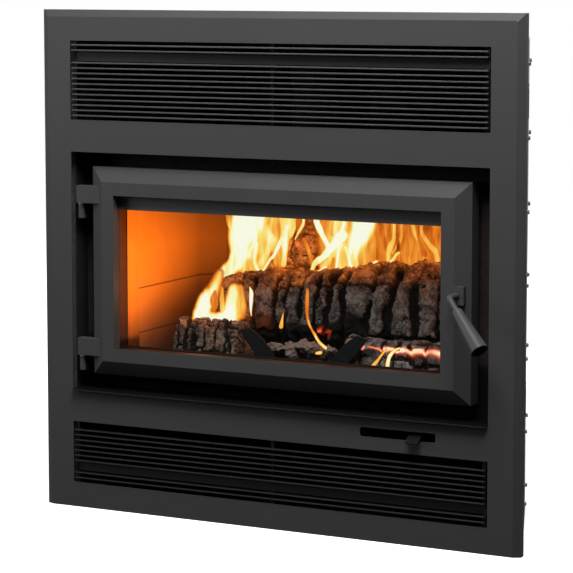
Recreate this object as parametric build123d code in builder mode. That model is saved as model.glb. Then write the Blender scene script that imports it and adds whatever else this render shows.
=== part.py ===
from build123d import *
import os
from math import cos, hypot, radians, sin

# A wood-burning fireplace insert: a louvred steel faceplate around a firebox with a glazed,
# hinged door, and a convection jacket behind it.
# Millimetres. X to the right, Y into the wall, Z up. The origin lies on the hearth, straight
# under the flue's axis. Depths are measured from the faceplate's front, into the wall.

os.makedirs("parts", exist_ok=True)

# ---------------------------------------------------------------- driving dimensions
flue_depth = 260.0            # flue axis behind the faceplate's front
slip = 0.3                    # gap of a loose piece to its seat
screw_fit = 0.1               # screw hole's radius over the screw's

# firebox, from which the door, the faceplate and the jacket follow outwards
mouth_half_width = 350.0      # the side bricks' inner faces line up with the mouth
mouth_sill = 41.8             # mouth's lower edge above the firebrick floor
mouth_over_wall = 30.2        # mouth's upper edge above the brick walls
mouth_radius = 6.0
mouth_flange_sheet = 4.0
mouth_flange_reach = 27.0     # flange behind the front plate, up to the side bricks
box_sheet = 4.0
front_plate = 5.0
front_plate_drop = 14.8       # below the door opening
smoke_height = 95.0           # from the mouth's upper edge to the firebox's top
side_brick = 25.0
floor_brick = 30.0
course_height = 90.4
courses = 4
brick_joint = 0.8
fuel_depth = 291.0            # from the side bricks' front ends to the back wall
corner_width = 44.0           # turned corners of the brick walls
corner_depth = 37.0
back_bricks_across = 3
floor_bricks_across = 6
floor_bricks_deep = 2
tube_radius = 12.5
tube_wall = 2.0
tube_setback = 81.0           # first tube behind the side bricks' front ends
tube_pitch = 75.0
tube_count = 3
baffle_thickness = 20.0
baffle_setback = 21.0
baffle_rear_gap = 13.0
baffle_board_count = 3
clip_height = 22.0
clip_drop = 44.0              # clip's leg below the top of the bricks
clip_width = 16.0
clip_sheet = 2.5
clip_setback = 42.0
stand_inset = 9.0             # inside the steel sides
stand_width = 30.0
stand_sheet = 3.0
stand_setback = 23.0          # behind the front plate
stand_rear_gap = 35.0         # ahead of the back wall
flue_radius = 76.2            # bore for a 6 inch flue pipe
flue_wall = 3.0
flue_rise = 40.0              # collar above the jacket
flue_flange = 25.8
flue_flange_sheet = 4.0
flue_hole_clearance = 10.0    # jacket's hole round the collar, closed by the seal plate
seal_plate_lap = 35.8
seal_plate_sheet = 1.5

# door
door_rim = 55.6               # door's edge to its window
door_depth = 50.0
door_sheet = 4.0
door_bevel_width = 29.0
door_bevel_depth = 16.0
window_overlap = 3.2          # window wider than the mouth, on each side
window_top_drop = 16.4        # window's upper edge under the mouth's
window_sill = 28.3            # window's lower edge above the mouth's
window_reveal_sheet = 3.0
glass_front = 24.0
glass_thickness = 5.0
glass_lap = 11.0
tape_thickness = 2.0
tape_width = 10.0
glass_band_height = 29.0
glass_band_sheet = 2.0
door_plate = 4.0              # rear plate of the door
rear_window_drop = 28.0        # rear opening's upper edge under the window's, just behind the band's edge
post_radius = 6.5
post_inset_x = 22.0
post_inset_z = 26.0
post_front = 8.0
screw_radius = 2.5
screw_length = 12.0
screw_pilot = 14.0
screw_head_radius = 4.8
screw_head_height = 3.0
seal_depth = 12.0             # from the door's back to the front plate
rope_inset = 6.0              # rope seal outside the mouth
rope_width = 12.0
rope_round = 3.5

# door opening in the faceplate, and the recess behind it
door_side_gap = 41.2
door_top_gap = 28.8
door_bottom_gap = 33.7
liner_sheet = 2.0
liner_clearance = 1.0
lip_sheet = 2.5
lip_overhang = 12.0
lip_radius = 10.0
lip_side_gap = 0.5

# faceplate, a shallow folded tray
face_stile = 65.0             # plain face beside the openings
upper_rail = 64.0             # plain face between the door opening and the upper grille
lower_rail = 64.5             # plain face between the lower grille and the door opening
top_margin = 61.5
bottom_margin = 50.5
face_depth = 20.0
face_sheet = 2.0
face_bevel_width = 14.0
face_bevel_depth = 7.0
mitre_seam = 0.8              # open seam where the folded bevels meet
slot_right_margin = 105.2     # slot of the air lever, from the openings' edge
slot_width = 155.6
slot_drop = 21.3              # slot's upper edge under the door opening
slot_height = 17.3
slot_radius = 4.0

# grilles
slat_thickness = 3.5
slat_depth = 8.0
slat_proud = 3.0              # how far the slats stand out of the faceplate
slat_end_gap = 4.8
slat_pitch = 10.45
slat_edge = 0.8               # broken front edges
band_height = 18.5
band_gap = 1.3                # between the flat band and the slats beside it
band_sheet = 2.5
band_recess = 9.0             # band's front behind the faceplate's front
upper_slats_below = 11        # slats below and above the flat band
upper_slats_above = 2
upper_bottom_gap = 8.2        # outermost slats' middles to the opening's edges
upper_top_gap = 8.75
lower_slats_below = 2
lower_slats_above = 7
lower_bottom_gap = 9.5
lower_top_gap = 16.75
comb_width = 8.0
comb_back = 17.0
comb_lap = 10.0               # comb's ends behind the faceplate
comb_clearance = 0.5

# convection jacket
jacket_sheet = 1.5
jacket_side_gap = 2.0         # to the recess liner
jacket_setback = 10.0         # behind the faceplate's returns
jacket_slope = 0.385          # how fast the rear stretch of each side draws in
jacket_corner_gap = 1.0       # to the firebox's rear corners
jacket_back_gap = 16.0        # to the firebox's back
jacket_flange = 40.0
jacket_rear_lip = 24.0
jacket_top_drop = 55.0        # under the faceplate's upper edge
pan_sheet = 2.0
pan_clearance = 1.0           # to the faceplate's returns
anchor_inset = 25.0           # hearth anchor holes, from the jacket's sides and front
anchor_setback = 30.0
anchor_spacing = 90.0
anchor_hole_radius = 4.5

# brackets that carry the faceplate
bracket_sheet = 2.0
bracket_strip = 54.5
bracket_notch = 3.0
bracket_ear = 6.0
bracket_notch_depth = 6.0
bracket_leg = 36.0
upper_bracket_rise = 27.0     # above the upper grille's lower edge
lower_bracket_rise = 23.0     # above the door opening's lower edge
bracket_screw_radius = 2.1
bracket_screw_length = 8.0

# hinges
hinge_inset = 16.0            # hinge axis inside the door opening
hinge_depth = 13.0
hinge_block_gap = 9.0         # block's outer end inside the door opening
hinge_block_front = 4.0
hinge_block_back = 22.0
hinge_block_height = 34.8
upper_hinge_drop = 73.2       # underside of the upper block under the door's upper edge
lower_hinge_rise = 36.9       # underside of the lower block above the door's lower edge
knuckle_radius = 6.75
knuckle_height = 28.0
knuckle_drop = 3.0            # from the block's underside to the knuckle's top
hinge_pin_radius = 4.0
hinge_pin_rise = 26.0
pin_fit = 0.05
hinge_arm_width = 8.0
washer_thickness = 2.7

# handle
handle_inset = 23.9           # handle's axis inside the door's right edge
handle_drop = 1.45            # below the door's middle
handle_boss_reach = 14.6      # boss to the right of the axis
handle_boss_height = 35.0
rod_radius = 6.0
rod_reach = 34.0
rod_bend = 13.0
rod_fit = 0.05
bushing_wall = 3.0
bushing_front = 14.0
grip_angle = 42.5             # from straight down, towards the right
grip_tilt = 20.0              # away from the door
grip_start = 32.0
grip_length = 93.0
grip_small_radius = 10.3
grip_large_radius = 17.0
grip_mouth_radius = 14.6
grip_mouth_depth = 13.0
grip_screw_radius = 5.5
grip_washer_radius = 8.5
grip_washer_sheet = 1.0
grip_screw_height = 4.0
grip_screw_round = 1.2
cam_gap = 4.5                 # cam's front behind the door
cam_thickness = 4.0
cam_hub_radius = 8.0
finger_reach = 15.5
finger_height = 9.0
keeper_sheet = 3.0
keeper_door_gap = 0.8
keeper_cam_gap = 1.6          # keeper's wall past the cam's finger
keeper_overlap = 8.0          # keeper's lip in front of the finger
keeper_height = 18.0

# combustion-air slide
lever_offset = 35.9           # lever at rest, right of the slot's middle
lever_width = 26.0
lever_sheet = 3.0
lever_rise = 10.6             # lever's top above the slot's lower edge
lever_tip_reach = 20.0
lever_tip_drop = 11.6
lever_tip_radius = 5.0
lever_end_gap = 2.7           # lever to the slot's ends at the ends of its travel
lever_joggle = 14.0           # length of the lever's step, and of its lap on the shutter
lever_joggle_end = 28.0
lever_lap = 28.0
shutter_drop = 3.0            # shutter's top under the firebox
shutter_sheet = 3.0
shutter_width = 150.0
shutter_offset = 70.0         # shutter's middle to the left of the lever's
shutter_setback = 7.0         # behind the front plate
shutter_depth = 76.0
rail_sheet = 2.0
rail_ledge = 7.0
rail_overrun = 1.1            # past the shutter at the ends of its travel
port_width = 34.0
port_depth = 14.0
port_pitch = 48.0
port_count = 3
port_setback = 10.0           # ports' middles behind the shutter's front

# fire: andirons and logs
iron_middle = 17.0            # middle of the pair of andirons
iron_spacing = 63.0           # andiron's middle from the pair's middle
iron_width = 18.0
iron_bar_rise = 37.8          # bar's underside above the firebrick floor
iron_bar_height = 16.0
iron_setback = 3.0            # behind the side bricks' front ends
iron_rear_gap = 55.0          # ahead of the back wall
iron_leg = 16.0
horn_width = 26.0
horn_rise = 78.0
horn_lean = 68.0
horn_thickness = 7.0
back_log_radius = 84.0
back_log_length = 550.0
back_log_side_gap = 15.0      # to the right wall
rear_log_radius = 60.0
rear_log_length = 452.0
rear_log_side_gap = 34.0
front_log_radius = 47.0
front_log_side_gap = 58.0     # to the left wall
horn_log_gap = 8.0            # front logs to the andirons
right_log_radius = 45.0
right_log_side_gap = 28.0
right_log_front_gap = 1.0
chunk_radius = 38.0
chunk_length = 62.0
chunk_shift = 18.0            # chunk's middle to the left of the andirons' middle
log_gap = 0.5
log_sides = 10

# ---------------------------------------------------------------- derived places
face_y = -flue_depth

# across, from the firebox outwards
steel_side = mouth_half_width + side_brick
back_half_width = mouth_half_width - corner_width
glass_half_width = mouth_half_width + window_overlap
door_half_width = glass_half_width + door_rim
half_opening = door_half_width + door_side_gap
half_width = half_opening + face_stile
return_inside = half_width - face_sheet
liner_half = half_opening + liner_clearance
jacket_half_width = liner_half + liner_sheet + jacket_side_gap
slot_right = half_opening - slot_right_margin
slot_left = slot_right - slot_width

# upwards
pan_top = pan_sheet
band_pitch = band_height + slat_thickness + 2 * band_gap
lower_gaps = lower_slats_below + lower_slats_above - 2
upper_gaps = upper_slats_below + upper_slats_above - 2
lower_grille_bottom = bottom_margin
lower_slats_height = lower_bottom_gap + lower_gaps * slat_pitch + band_pitch + lower_top_gap
lower_grille_top = lower_grille_bottom + lower_slats_height
door_opening_bottom = lower_grille_top + lower_rail
firebox_bottom = door_opening_bottom - front_plate_drop
floor_z = firebox_bottom + box_sheet + floor_brick
wall_top = floor_z + courses * course_height
mouth_bottom = floor_z + mouth_sill
mouth_top = wall_top + mouth_over_wall
firebox_top = mouth_top + smoke_height
window_bottom = mouth_bottom + window_sill
window_top = mouth_top - window_top_drop
door_bottom = door_opening_bottom + door_bottom_gap
door_top = window_top + door_rim
door_opening_top = door_top + door_top_gap
upper_grille_bottom = door_opening_top + upper_rail
upper_slats_height = upper_bottom_gap + upper_gaps * slat_pitch + band_pitch + upper_top_gap
upper_grille_top = upper_grille_bottom + upper_slats_height
face_height = upper_grille_top + top_margin
jacket_top_z = face_height - jacket_top_drop
flue_top = jacket_top_z + flue_rise
slot_bottom = door_opening_bottom - slot_drop - slot_height
rear_window_top = window_top - rear_window_drop
tube_z = wall_top + tube_radius + slip
baffle_z = tube_z + tube_radius + slip

# into the wall
recess_depth = door_depth + seal_depth
plate_back = recess_depth + front_plate
brick_front = plate_back + mouth_flange_reach
back_wall = brick_front + fuel_depth
straight_wall_end = back_wall - corner_depth
tube_depths = [brick_front + tube_setback + i * tube_pitch for i in range(tube_count)]
jacket_front = face_depth + jacket_setback
jacket_back = back_wall + side_brick + box_sheet + jacket_back_gap
collar_radius = flue_radius + flue_wall

# combustion-air slide, from the faceplate's slot and the firebox's floor
lever_x = (slot_left + slot_right) / 2 + lever_offset
lever_span = (lever_x - lever_width / 2, lever_x + lever_width / 2)
lever_top = slot_bottom + lever_rise
shutter_x = lever_x - shutter_offset
shutter_span = (shutter_x - shutter_width / 2, shutter_x + shutter_width / 2)
shutter_bottom = firebox_bottom - shutter_drop - shutter_sheet
shutter_front = plate_back + shutter_setback
shutter_back = shutter_front + shutter_depth
port_middles = [shutter_x + (i - (port_count - 1) / 2) * port_pitch for i in range(port_count)]
port_span = (shutter_front + port_setback - port_depth / 2, shutter_front + port_setback + port_depth / 2)


def wall_plane(depth):
    """Upright plane at a depth behind the faceplate's front: X right, Y up."""
    return Plane.XZ.offset(-(face_y + depth))


def side_plane(x):
    """Upright plane across the insert at x: X into the wall, Y up, extruded to the right."""
    return Plane(origin=(x, face_y, 0), x_dir=(0, 1, 0), z_dir=(1, 0, 0))


def floor_plane(z):
    """Level plane at z: X right, Y into the wall from the faceplate's front."""
    return Plane(origin=(0, face_y, z), x_dir=(1, 0, 0), z_dir=(0, 0, 1))


def block(x, z, depth, mode=Mode.ADD, radius=0.0):
    """A rectangle x by z in the wall plane, thick from depth[0] to depth[1]."""
    with BuildSketch(wall_plane(depth[0])) as outline:
        with Locations(((x[0] + x[1]) / 2, (z[0] + z[1]) / 2)):
            if radius:
                RectangleRounded(x[1] - x[0], z[1] - z[0], radius)
            else:
                Rectangle(x[1] - x[0], z[1] - z[0])
    extrude(outline.sketch, amount=-(depth[1] - depth[0]), mode=mode)


def rod_along_depth(x, z, radius, depth, mode=Mode.ADD):
    """A round bar or hole square to the faceplate."""
    with BuildSketch(wall_plane(depth[0])) as outline:
        with Locations((x, z)):
            Circle(radius)
    extrude(outline.sketch, amount=-(depth[1] - depth[0]), mode=mode)


def rod_upright(x, depth, radius, z, mode=Mode.ADD):
    """A round bar or hole along Z."""
    with BuildSketch(floor_plane(z[0])) as outline:
        with Locations((x, depth)):
            Circle(radius)
    extrude(outline.sketch, amount=z[1] - z[0], mode=mode)


def plan_prism(points, z, mode=Mode.ADD):
    """A closed outline of (x, depth) points, extruded from z[0] to z[1]."""
    with BuildSketch(floor_plane(z[0])) as outline:
        with BuildLine():
            Polyline(*points, close=True)
        make_face()
    extrude(outline.sketch, amount=z[1] - z[0], mode=mode)


def folded_sheet(points, sheet, z, side=Side.LEFT):
    """Bent sheet whose plan follows (x, depth) points, extruded from z[0] to z[1]."""
    with BuildSketch(floor_plane(z[0])) as outline:
        with BuildLine():
            Polyline(*points)
            offset(amount=sheet, side=side)
        make_face()
    extrude(outline.sketch, amount=z[1] - z[0])


def finish(builder, label):
    """Name the finished piece and write it."""
    builder.part.label = label
    export_step(builder.part, f"parts/{label}.step")


# ---------------------------------------------------------------- faceplate
with BuildPart() as faceplate:
    block((-half_width, half_width), (0, face_height), (0, face_depth))
    front_face = faceplate.faces().sort_by(Axis.Y)[0]
    bottom_edge = front_face.edges().sort_by(Axis.Z)[0]
    bevel_edges = [edge for edge in front_face.edges() if edge != bottom_edge]
    chamfer(bevel_edges, length=face_bevel_width, length2=face_bevel_depth, reference=front_face)
    back_face = faceplate.faces().sort_by(Axis.Y)[-1]
    offset(amount=-face_sheet, openings=back_face, kind=Kind.INTERSECTION)
    through = (-1.0, face_depth / 2)
    block((-half_opening, half_opening), (door_opening_bottom, door_opening_top), through, Mode.SUBTRACT)
    block((-half_opening, half_opening), (upper_grille_bottom, upper_grille_top), through, Mode.SUBTRACT)
    block((-half_opening, half_opening), (lower_grille_bottom, lower_grille_top), through, Mode.SUBTRACT)
    block((slot_left, slot_right), (slot_bottom, slot_bottom + slot_height), through, Mode.SUBTRACT,
          slot_radius)
    # open mitre seams at the two upper corners
    with BuildSketch(wall_plane(-1.0)):
        for sign in (-1, 1):
            corner = (sign * (half_width - face_bevel_width / 2), face_height - face_bevel_width / 2)
            with Locations(corner):
                Rectangle(1.7 * face_bevel_width, mitre_seam, rotation=sign * 45)
    extrude(amount=-(face_bevel_depth + 1.0 + face_sheet), mode=Mode.SUBTRACT)
finish(faceplate, "faceplate")


# ---------------------------------------------------------------- brackets that carry the faceplate
bracket_front = face_bevel_depth + face_sheet
bracket_bottoms = (upper_grille_bottom + upper_bracket_rise, door_opening_bottom + lower_bracket_rise)
# the screw stands in the middle of the leg's lap on the jacket's flange
bracket_screw_x = (return_inside - bracket_leg + jacket_half_width + jacket_flange) / 2
bracket_screw_rise = bracket_strip / 2


def add_bracket(bottom, sign):
    """An angle bracket: a strip inside the side return and a leg on the jacket's flange."""
    top = bottom + bracket_strip + bracket_notch + bracket_ear
    outer = sorted((sign * return_inside, sign * (return_inside - bracket_sheet)))
    leg = sorted((sign * return_inside, sign * (return_inside - bracket_leg)))
    block(outer, (bottom, top), (bracket_front, jacket_front))
    block(leg, (bottom, top), (jacket_front - bracket_sheet, jacket_front))
    notch = (bottom + bracket_strip, bottom + bracket_strip + bracket_notch)
    notch_x = sorted((sign * (return_inside + 1), sign * (return_inside - bracket_leg / 2)))
    block(notch_x, notch, (jacket_front - bracket_notch_depth, jacket_front + 1), Mode.SUBTRACT)


with BuildPart() as brackets:
    for bottom in bracket_bottoms:
        for sign in (-1, 1):
            add_bracket(bottom, sign)
            rod_along_depth(sign * bracket_screw_x, bottom + bracket_screw_rise,
                            bracket_screw_radius + screw_fit,
                            (jacket_front - bracket_sheet - 1, jacket_front + 1), Mode.SUBTRACT)
finish(brackets, "faceplate_brackets")

with BuildPart() as bracket_screws:
    for bottom in bracket_bottoms:
        for sign in (-1, 1):
            place = (sign * bracket_screw_x, bottom + bracket_screw_rise)
            seat = jacket_front - bracket_sheet
            rod_along_depth(*place, screw_head_radius, (seat - screw_head_height, seat))
            rod_along_depth(*place, bracket_screw_radius, (seat, seat + bracket_screw_length))
finish(bracket_screws, "bracket_screws")


# ---------------------------------------------------------------- grilles
def slat_heights(bottom, first, below, above):
    """Middles of a grille's slats, with the flat band's gap between the two groups."""
    lower = [bottom + first + i * slat_pitch for i in range(below)]
    upper = [lower[-1] + band_pitch + i * slat_pitch for i in range(above)]
    return lower, upper


def make_grille(name, bottom, top, first, below, above):
    """Flat-bar slats, their flat band and the three combs that carry them."""
    lower, upper = slat_heights(bottom, first, below, above)
    band_z = (lower[-1] + upper[0]) / 2
    band_span = (band_z - band_height / 2, band_z + band_height / 2)
    half_slat = half_opening - slat_end_gap
    seat = slat_depth - slat_proud
    band_back = band_recess + band_sheet
    with BuildPart() as slats:
        for z in lower + upper:
            with BuildSketch(side_plane(-half_slat)):
                with BuildLine():
                    Polyline((seat, z - slat_thickness / 2), (seat, z + slat_thickness / 2),
                             (slat_edge - slat_proud, z + slat_thickness / 2),
                             (-slat_proud, z + slat_thickness / 2 - slat_edge),
                             (-slat_proud, z - slat_thickness / 2 + slat_edge),
                             (slat_edge - slat_proud, z - slat_thickness / 2), close=True)
                make_face()
            extrude(amount=2 * half_slat)
    finish(slats, f"{name}_slats")
    with BuildPart() as band:
        block((-half_slat, half_slat), band_span, (band_recess, band_back))
    finish(band, f"{name}_band")
    with BuildPart() as combs:
        for x in (-half_slat + comb_width / 2, 0, half_slat - comb_width / 2):
            across = (x - comb_width / 2, x + comb_width / 2)
            block(across, (bottom - comb_lap, top + comb_lap), (face_sheet, comb_back))
            block(across, (bottom - comb_clearance, top + comb_clearance), (0, seat), Mode.SUBTRACT)
            block(across, band_span, (0, band_back), Mode.SUBTRACT)
    finish(combs, f"{name}_combs")


make_grille("upper_grille", upper_grille_bottom, upper_grille_top,
            upper_bottom_gap, upper_slats_below, upper_slats_above)
make_grille("lower_grille", lower_grille_bottom, lower_grille_top,
            lower_bottom_gap, lower_slats_below, lower_slats_above)

# ---------------------------------------------------------------- recess liner, front plate, ash lip
with BuildPart() as recess_liner:
    liner_z = (door_opening_bottom, door_opening_top + liner_clearance)
    block((-liner_half - liner_sheet, liner_half + liner_sheet),
          (liner_z[0] - liner_sheet, liner_z[1] + liner_sheet), (face_depth, recess_depth))
    block((-liner_half, liner_half), liner_z, (face_depth - 1, recess_depth + 1), Mode.SUBTRACT)
finish(recess_liner, "recess_liner")

with BuildPart() as firebox_front:
    block((-jacket_half_width, jacket_half_width), (firebox_bottom, firebox_top), (recess_depth, plate_back))
    block((-mouth_half_width - mouth_flange_sheet, mouth_half_width + mouth_flange_sheet),
          (mouth_bottom - mouth_flange_sheet, mouth_top + mouth_flange_sheet),
          (recess_depth, brick_front - slip), radius=mouth_radius + mouth_flange_sheet)
    block((-mouth_half_width, mouth_half_width), (mouth_bottom, mouth_top),
          (recess_depth - 1, brick_front + 1), Mode.SUBTRACT, mouth_radius)
finish(firebox_front, "firebox_front")

with BuildPart() as ash_lip:
    block((-half_opening + lip_side_gap, half_opening - lip_side_gap),
          (door_opening_bottom, door_opening_bottom + lip_sheet), (-lip_overhang, recess_depth))
    fillet(ash_lip.edges().filter_by(Axis.Z).group_by(Axis.Y)[0], lip_radius)
finish(ash_lip, "ash_lip")

# ---------------------------------------------------------------- firebox
turn_length = hypot(corner_width, corner_depth)
turn_normal = (-corner_depth / turn_length, corner_width / turn_length)   # outward, left corner


def wall_line(thickness):
    """Plan of the left wall, its turned corner and the back, outside the bricks' inner faces."""
    side = mouth_half_width + thickness
    back = back_wall + thickness
    reach = turn_normal[0] * -mouth_half_width + turn_normal[1] * straight_wall_end + thickness
    return [(-side, plate_back),
            (-side, (reach + turn_normal[0] * side) / turn_normal[1]),
            ((reach - turn_normal[1] * back) / turn_normal[0], back)]


def closed_plan(line):
    """The whole plan of which a line is the left half."""
    return line + [(-x, depth) for x, depth in reversed(line)]


brick_back_line = wall_line(side_brick)
shell_line = wall_line(side_brick + box_sheet)
plates_z = (firebox_bottom, firebox_bottom + box_sheet, firebox_top - box_sheet, firebox_top)

with BuildPart() as firebox_shell:
    plan_prism(closed_plan(shell_line), plates_z[1:3])
    plan_prism(closed_plan(brick_back_line), plates_z[1:3], Mode.SUBTRACT)
finish(firebox_shell, "firebox_shell")

with BuildPart() as firebox_floor:
    plan_prism(closed_plan(shell_line), plates_z[:2])
    for x in port_middles:
        block((x - port_width / 2, x + port_width / 2), (firebox_bottom - 1, firebox_bottom + box_sheet + 1),
              port_span, Mode.SUBTRACT)
finish(firebox_floor, "firebox_floor")

with BuildPart() as firebox_roof:
    plan_prism(closed_plan(shell_line), plates_z[2:])
    rod_upright(0, flue_depth, flue_radius, (plates_z[2] - 1, firebox_top + 1), Mode.SUBTRACT)
finish(firebox_roof, "firebox_roof")

turn_angle = -Vector(corner_width, corner_depth).get_angle(Vector(1, 0))
turn_middle = (-(mouth_half_width + back_half_width) / 2 + turn_normal[0] * side_brick / 2,
               (straight_wall_end + back_wall) / 2 + turn_normal[1] * side_brick / 2)

wall_middle = mouth_half_width + side_brick / 2


def side_bricks(sign):
    """Long wall bricks and the short turned bricks behind them, course by course."""
    for course in range(courses):
        bottom = floor_z + course * course_height
        with BuildSketch(floor_plane(bottom)) as outline:
            with Locations((sign * wall_middle, (brick_front + straight_wall_end) / 2)):
                Rectangle(side_brick, straight_wall_end - brick_front)
            with Locations((-sign * turn_middle[0], turn_middle[1])):
                Rectangle(turn_length - brick_joint, side_brick - brick_joint, rotation=sign * turn_angle)
        extrude(outline.sketch, amount=course_height - brick_joint)


with BuildPart() as left_bricks:
    side_bricks(-1)
finish(left_bricks, "left_bricks")

with BuildPart() as right_bricks:
    side_bricks(1)
finish(right_bricks, "right_bricks")

with BuildPart() as back_bricks:
    brick_length = 2 * back_half_width / back_bricks_across
    for course in range(courses):
        bottom = floor_z + course * course_height
        for i in range(back_bricks_across):
            left = -back_half_width + i * brick_length + brick_joint / 2
            block((left, left + brick_length - brick_joint), (bottom, bottom + course_height - brick_joint),
                  (back_wall, back_wall + side_brick))
finish(back_bricks, "back_bricks")

with BuildPart() as floor_bricks:
    tile_width = 2 * mouth_half_width / floor_bricks_across
    tile_depth = (straight_wall_end - brick_front) / floor_bricks_deep
    for i in range(floor_bricks_across):
        left = -mouth_half_width + i * tile_width + brick_joint / 2
        for j in range(floor_bricks_deep):
            front = brick_front + j * tile_depth + brick_joint / 2
            block((left, left + tile_width - brick_joint), (floor_z - floor_brick, floor_z),
                  (front, front + tile_depth - brick_joint))
finish(floor_bricks, "floor_bricks")

with BuildPart() as brick_clips:
    clip_span = (brick_front + clip_setback, brick_front + clip_setback + clip_width)
    for sign in (-1, 1):
        inner = sorted((sign * (mouth_half_width - slip), sign * (mouth_half_width - slip - clip_sheet)))
        hook = sorted((sign * (steel_side), sign * (mouth_half_width - slip - clip_sheet)))
        block(inner, (wall_top - clip_drop, wall_top + slip + clip_sheet), clip_span)
        block(hook, (wall_top + slip, wall_top + slip + clip_sheet), clip_span)
finish(brick_clips, "brick_clips")

with BuildPart() as air_tubes:
    with BuildSketch(side_plane(-steel_side + slip)):
        with Locations(*[(depth, tube_z) for depth in tube_depths]):
            Circle(tube_radius)
            Circle(tube_radius - tube_wall, mode=Mode.SUBTRACT)
    extrude(amount=2 * (steel_side - slip))
finish(air_tubes, "air_tubes")

with BuildPart() as baffle:
    board_width = 2 * mouth_half_width / baffle_board_count
    for i in range(baffle_board_count):
        left = -mouth_half_width + i * board_width + brick_joint / 2
        block((left, left + board_width - brick_joint),
              (baffle_z, baffle_z + baffle_thickness),
              (brick_front + baffle_setback, back_wall - baffle_rear_gap))
finish(baffle, "baffle_boards")

with BuildPart() as stands:
    stand_outside = steel_side - stand_inset
    stand_span = (plate_back + stand_setback, back_wall - stand_rear_gap)
    for sign in (-1, 1):
        web = sorted((sign * stand_outside, sign * (stand_outside - stand_sheet)))
        leg = sorted((sign * stand_outside, sign * (stand_outside - stand_width)))
        block(web, (pan_top, firebox_bottom), stand_span)
        block(leg, (pan_top, pan_top + stand_sheet), stand_span)
        block(leg, (firebox_bottom - stand_sheet, firebox_bottom), stand_span)
finish(stands, "firebox_stands")

# ---------------------------------------------------------------- convection jacket
steel_corner = shell_line[1]
jacket_drawn_in = jacket_half_width + steel_corner[0] - jacket_corner_gap
jacket_taper_start = steel_corner[1] - jacket_drawn_in / jacket_slope
jacket_rear_half_width = jacket_half_width - jacket_slope * (jacket_back - jacket_taper_start)
jacket_side_line = [(-jacket_half_width - jacket_flange, jacket_front),
                    (-jacket_half_width, jacket_front),
                    (-jacket_half_width, jacket_taper_start),
                    (-jacket_rear_half_width, jacket_back),
                    (-jacket_rear_half_width + jacket_rear_lip, jacket_back)]
jacket_outline = [(-jacket_half_width - jacket_sheet, jacket_front),
                  (-jacket_half_width - jacket_sheet, jacket_taper_start),
                  (-jacket_rear_half_width - jacket_sheet, jacket_back + 2 * jacket_sheet)]
full_outline = jacket_outline + [(-x, depth) for x, depth in reversed(jacket_outline)]
pan_front = face_depth + pan_clearance
pan_outline = [(x, pan_front if depth == jacket_front else depth) for x, depth in full_outline]
anchor_x = jacket_half_width - anchor_inset
anchor_front = jacket_front + anchor_setback

with BuildPart() as jacket_left:
    folded_sheet(jacket_side_line, jacket_sheet, (pan_top, jacket_top_z))
    for bottom in bracket_bottoms:
        rod_along_depth(-bracket_screw_x, bottom + bracket_screw_rise,
                        bracket_screw_radius + screw_fit,
                        (jacket_front - 1, jacket_front + jacket_sheet + 1), Mode.SUBTRACT)
finish(jacket_left, "jacket_left")

with BuildPart() as jacket_right:
    mirror(jacket_left.part, about=Plane.YZ)
finish(jacket_right, "jacket_right")

with BuildPart() as jacket_back_panel:
    block((-jacket_rear_half_width, jacket_rear_half_width), (pan_top, jacket_top_z),
          (jacket_back + jacket_sheet, jacket_back + 2 * jacket_sheet))
finish(jacket_back_panel, "jacket_back")

with BuildPart() as jacket_top:
    plan_prism(full_outline, (jacket_top_z, jacket_top_z + jacket_sheet))
    rod_upright(0, flue_depth, collar_radius + flue_hole_clearance,
                (jacket_top_z - 1, jacket_top_z + jacket_sheet + 1), Mode.SUBTRACT)
finish(jacket_top, "jacket_top")

with BuildPart() as base_pan:
    plan_prism(pan_outline, (0, pan_top))
    for sign in (-1, 1):
        for depth in (anchor_front, anchor_front + anchor_spacing):
            rod_upright(sign * anchor_x, depth, anchor_hole_radius, (-1, pan_top + 1), Mode.SUBTRACT)
finish(base_pan, "base_pan")

# ---------------------------------------------------------------- flue connection

with BuildPart() as flue_collar:
    rod_upright(0, flue_depth, collar_radius, (firebox_top, flue_top))
    rod_upright(0, flue_depth, flue_radius, (firebox_top - 1, flue_top + 1), Mode.SUBTRACT)
finish(flue_collar, "flue_collar")

with BuildPart() as flue_flange_ring:
    flange_z = (firebox_top, firebox_top + flue_flange_sheet)
    rod_upright(0, flue_depth, collar_radius + flue_flange, flange_z)
    rod_upright(0, flue_depth, collar_radius + slip, (flange_z[0] - 1, flange_z[1] + 1), Mode.SUBTRACT)
finish(flue_flange_ring, "flue_flange")

with BuildPart() as flue_seal:
    seal_z = jacket_top_z + jacket_sheet
    seal_radius = collar_radius + flue_hole_clearance + seal_plate_lap
    rod_upright(0, flue_depth, seal_radius, (seal_z, seal_z + seal_plate_sheet))
    rod_upright(0, flue_depth, collar_radius + slip, (seal_z - 1, seal_z + seal_plate_sheet + 1),
                Mode.SUBTRACT)
finish(flue_seal, "flue_seal_plate")

# ---------------------------------------------------------------- door
handle_x = door_half_width - handle_inset
handle_z = (door_bottom + door_top) / 2 - handle_drop
window_x = (-glass_half_width, glass_half_width)
window_z = (window_bottom, window_top)
plate_front = door_depth - door_plate
post_x = door_half_width - post_inset_x
post_zs = (door_bottom + post_inset_z, door_top - post_inset_z)
post_places = [(sign * post_x, z) for sign in (-1, 1) for z in post_zs]
bevel_slope = door_bevel_depth / door_bevel_width
bevel_inner = door_half_width - door_bevel_width

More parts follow.
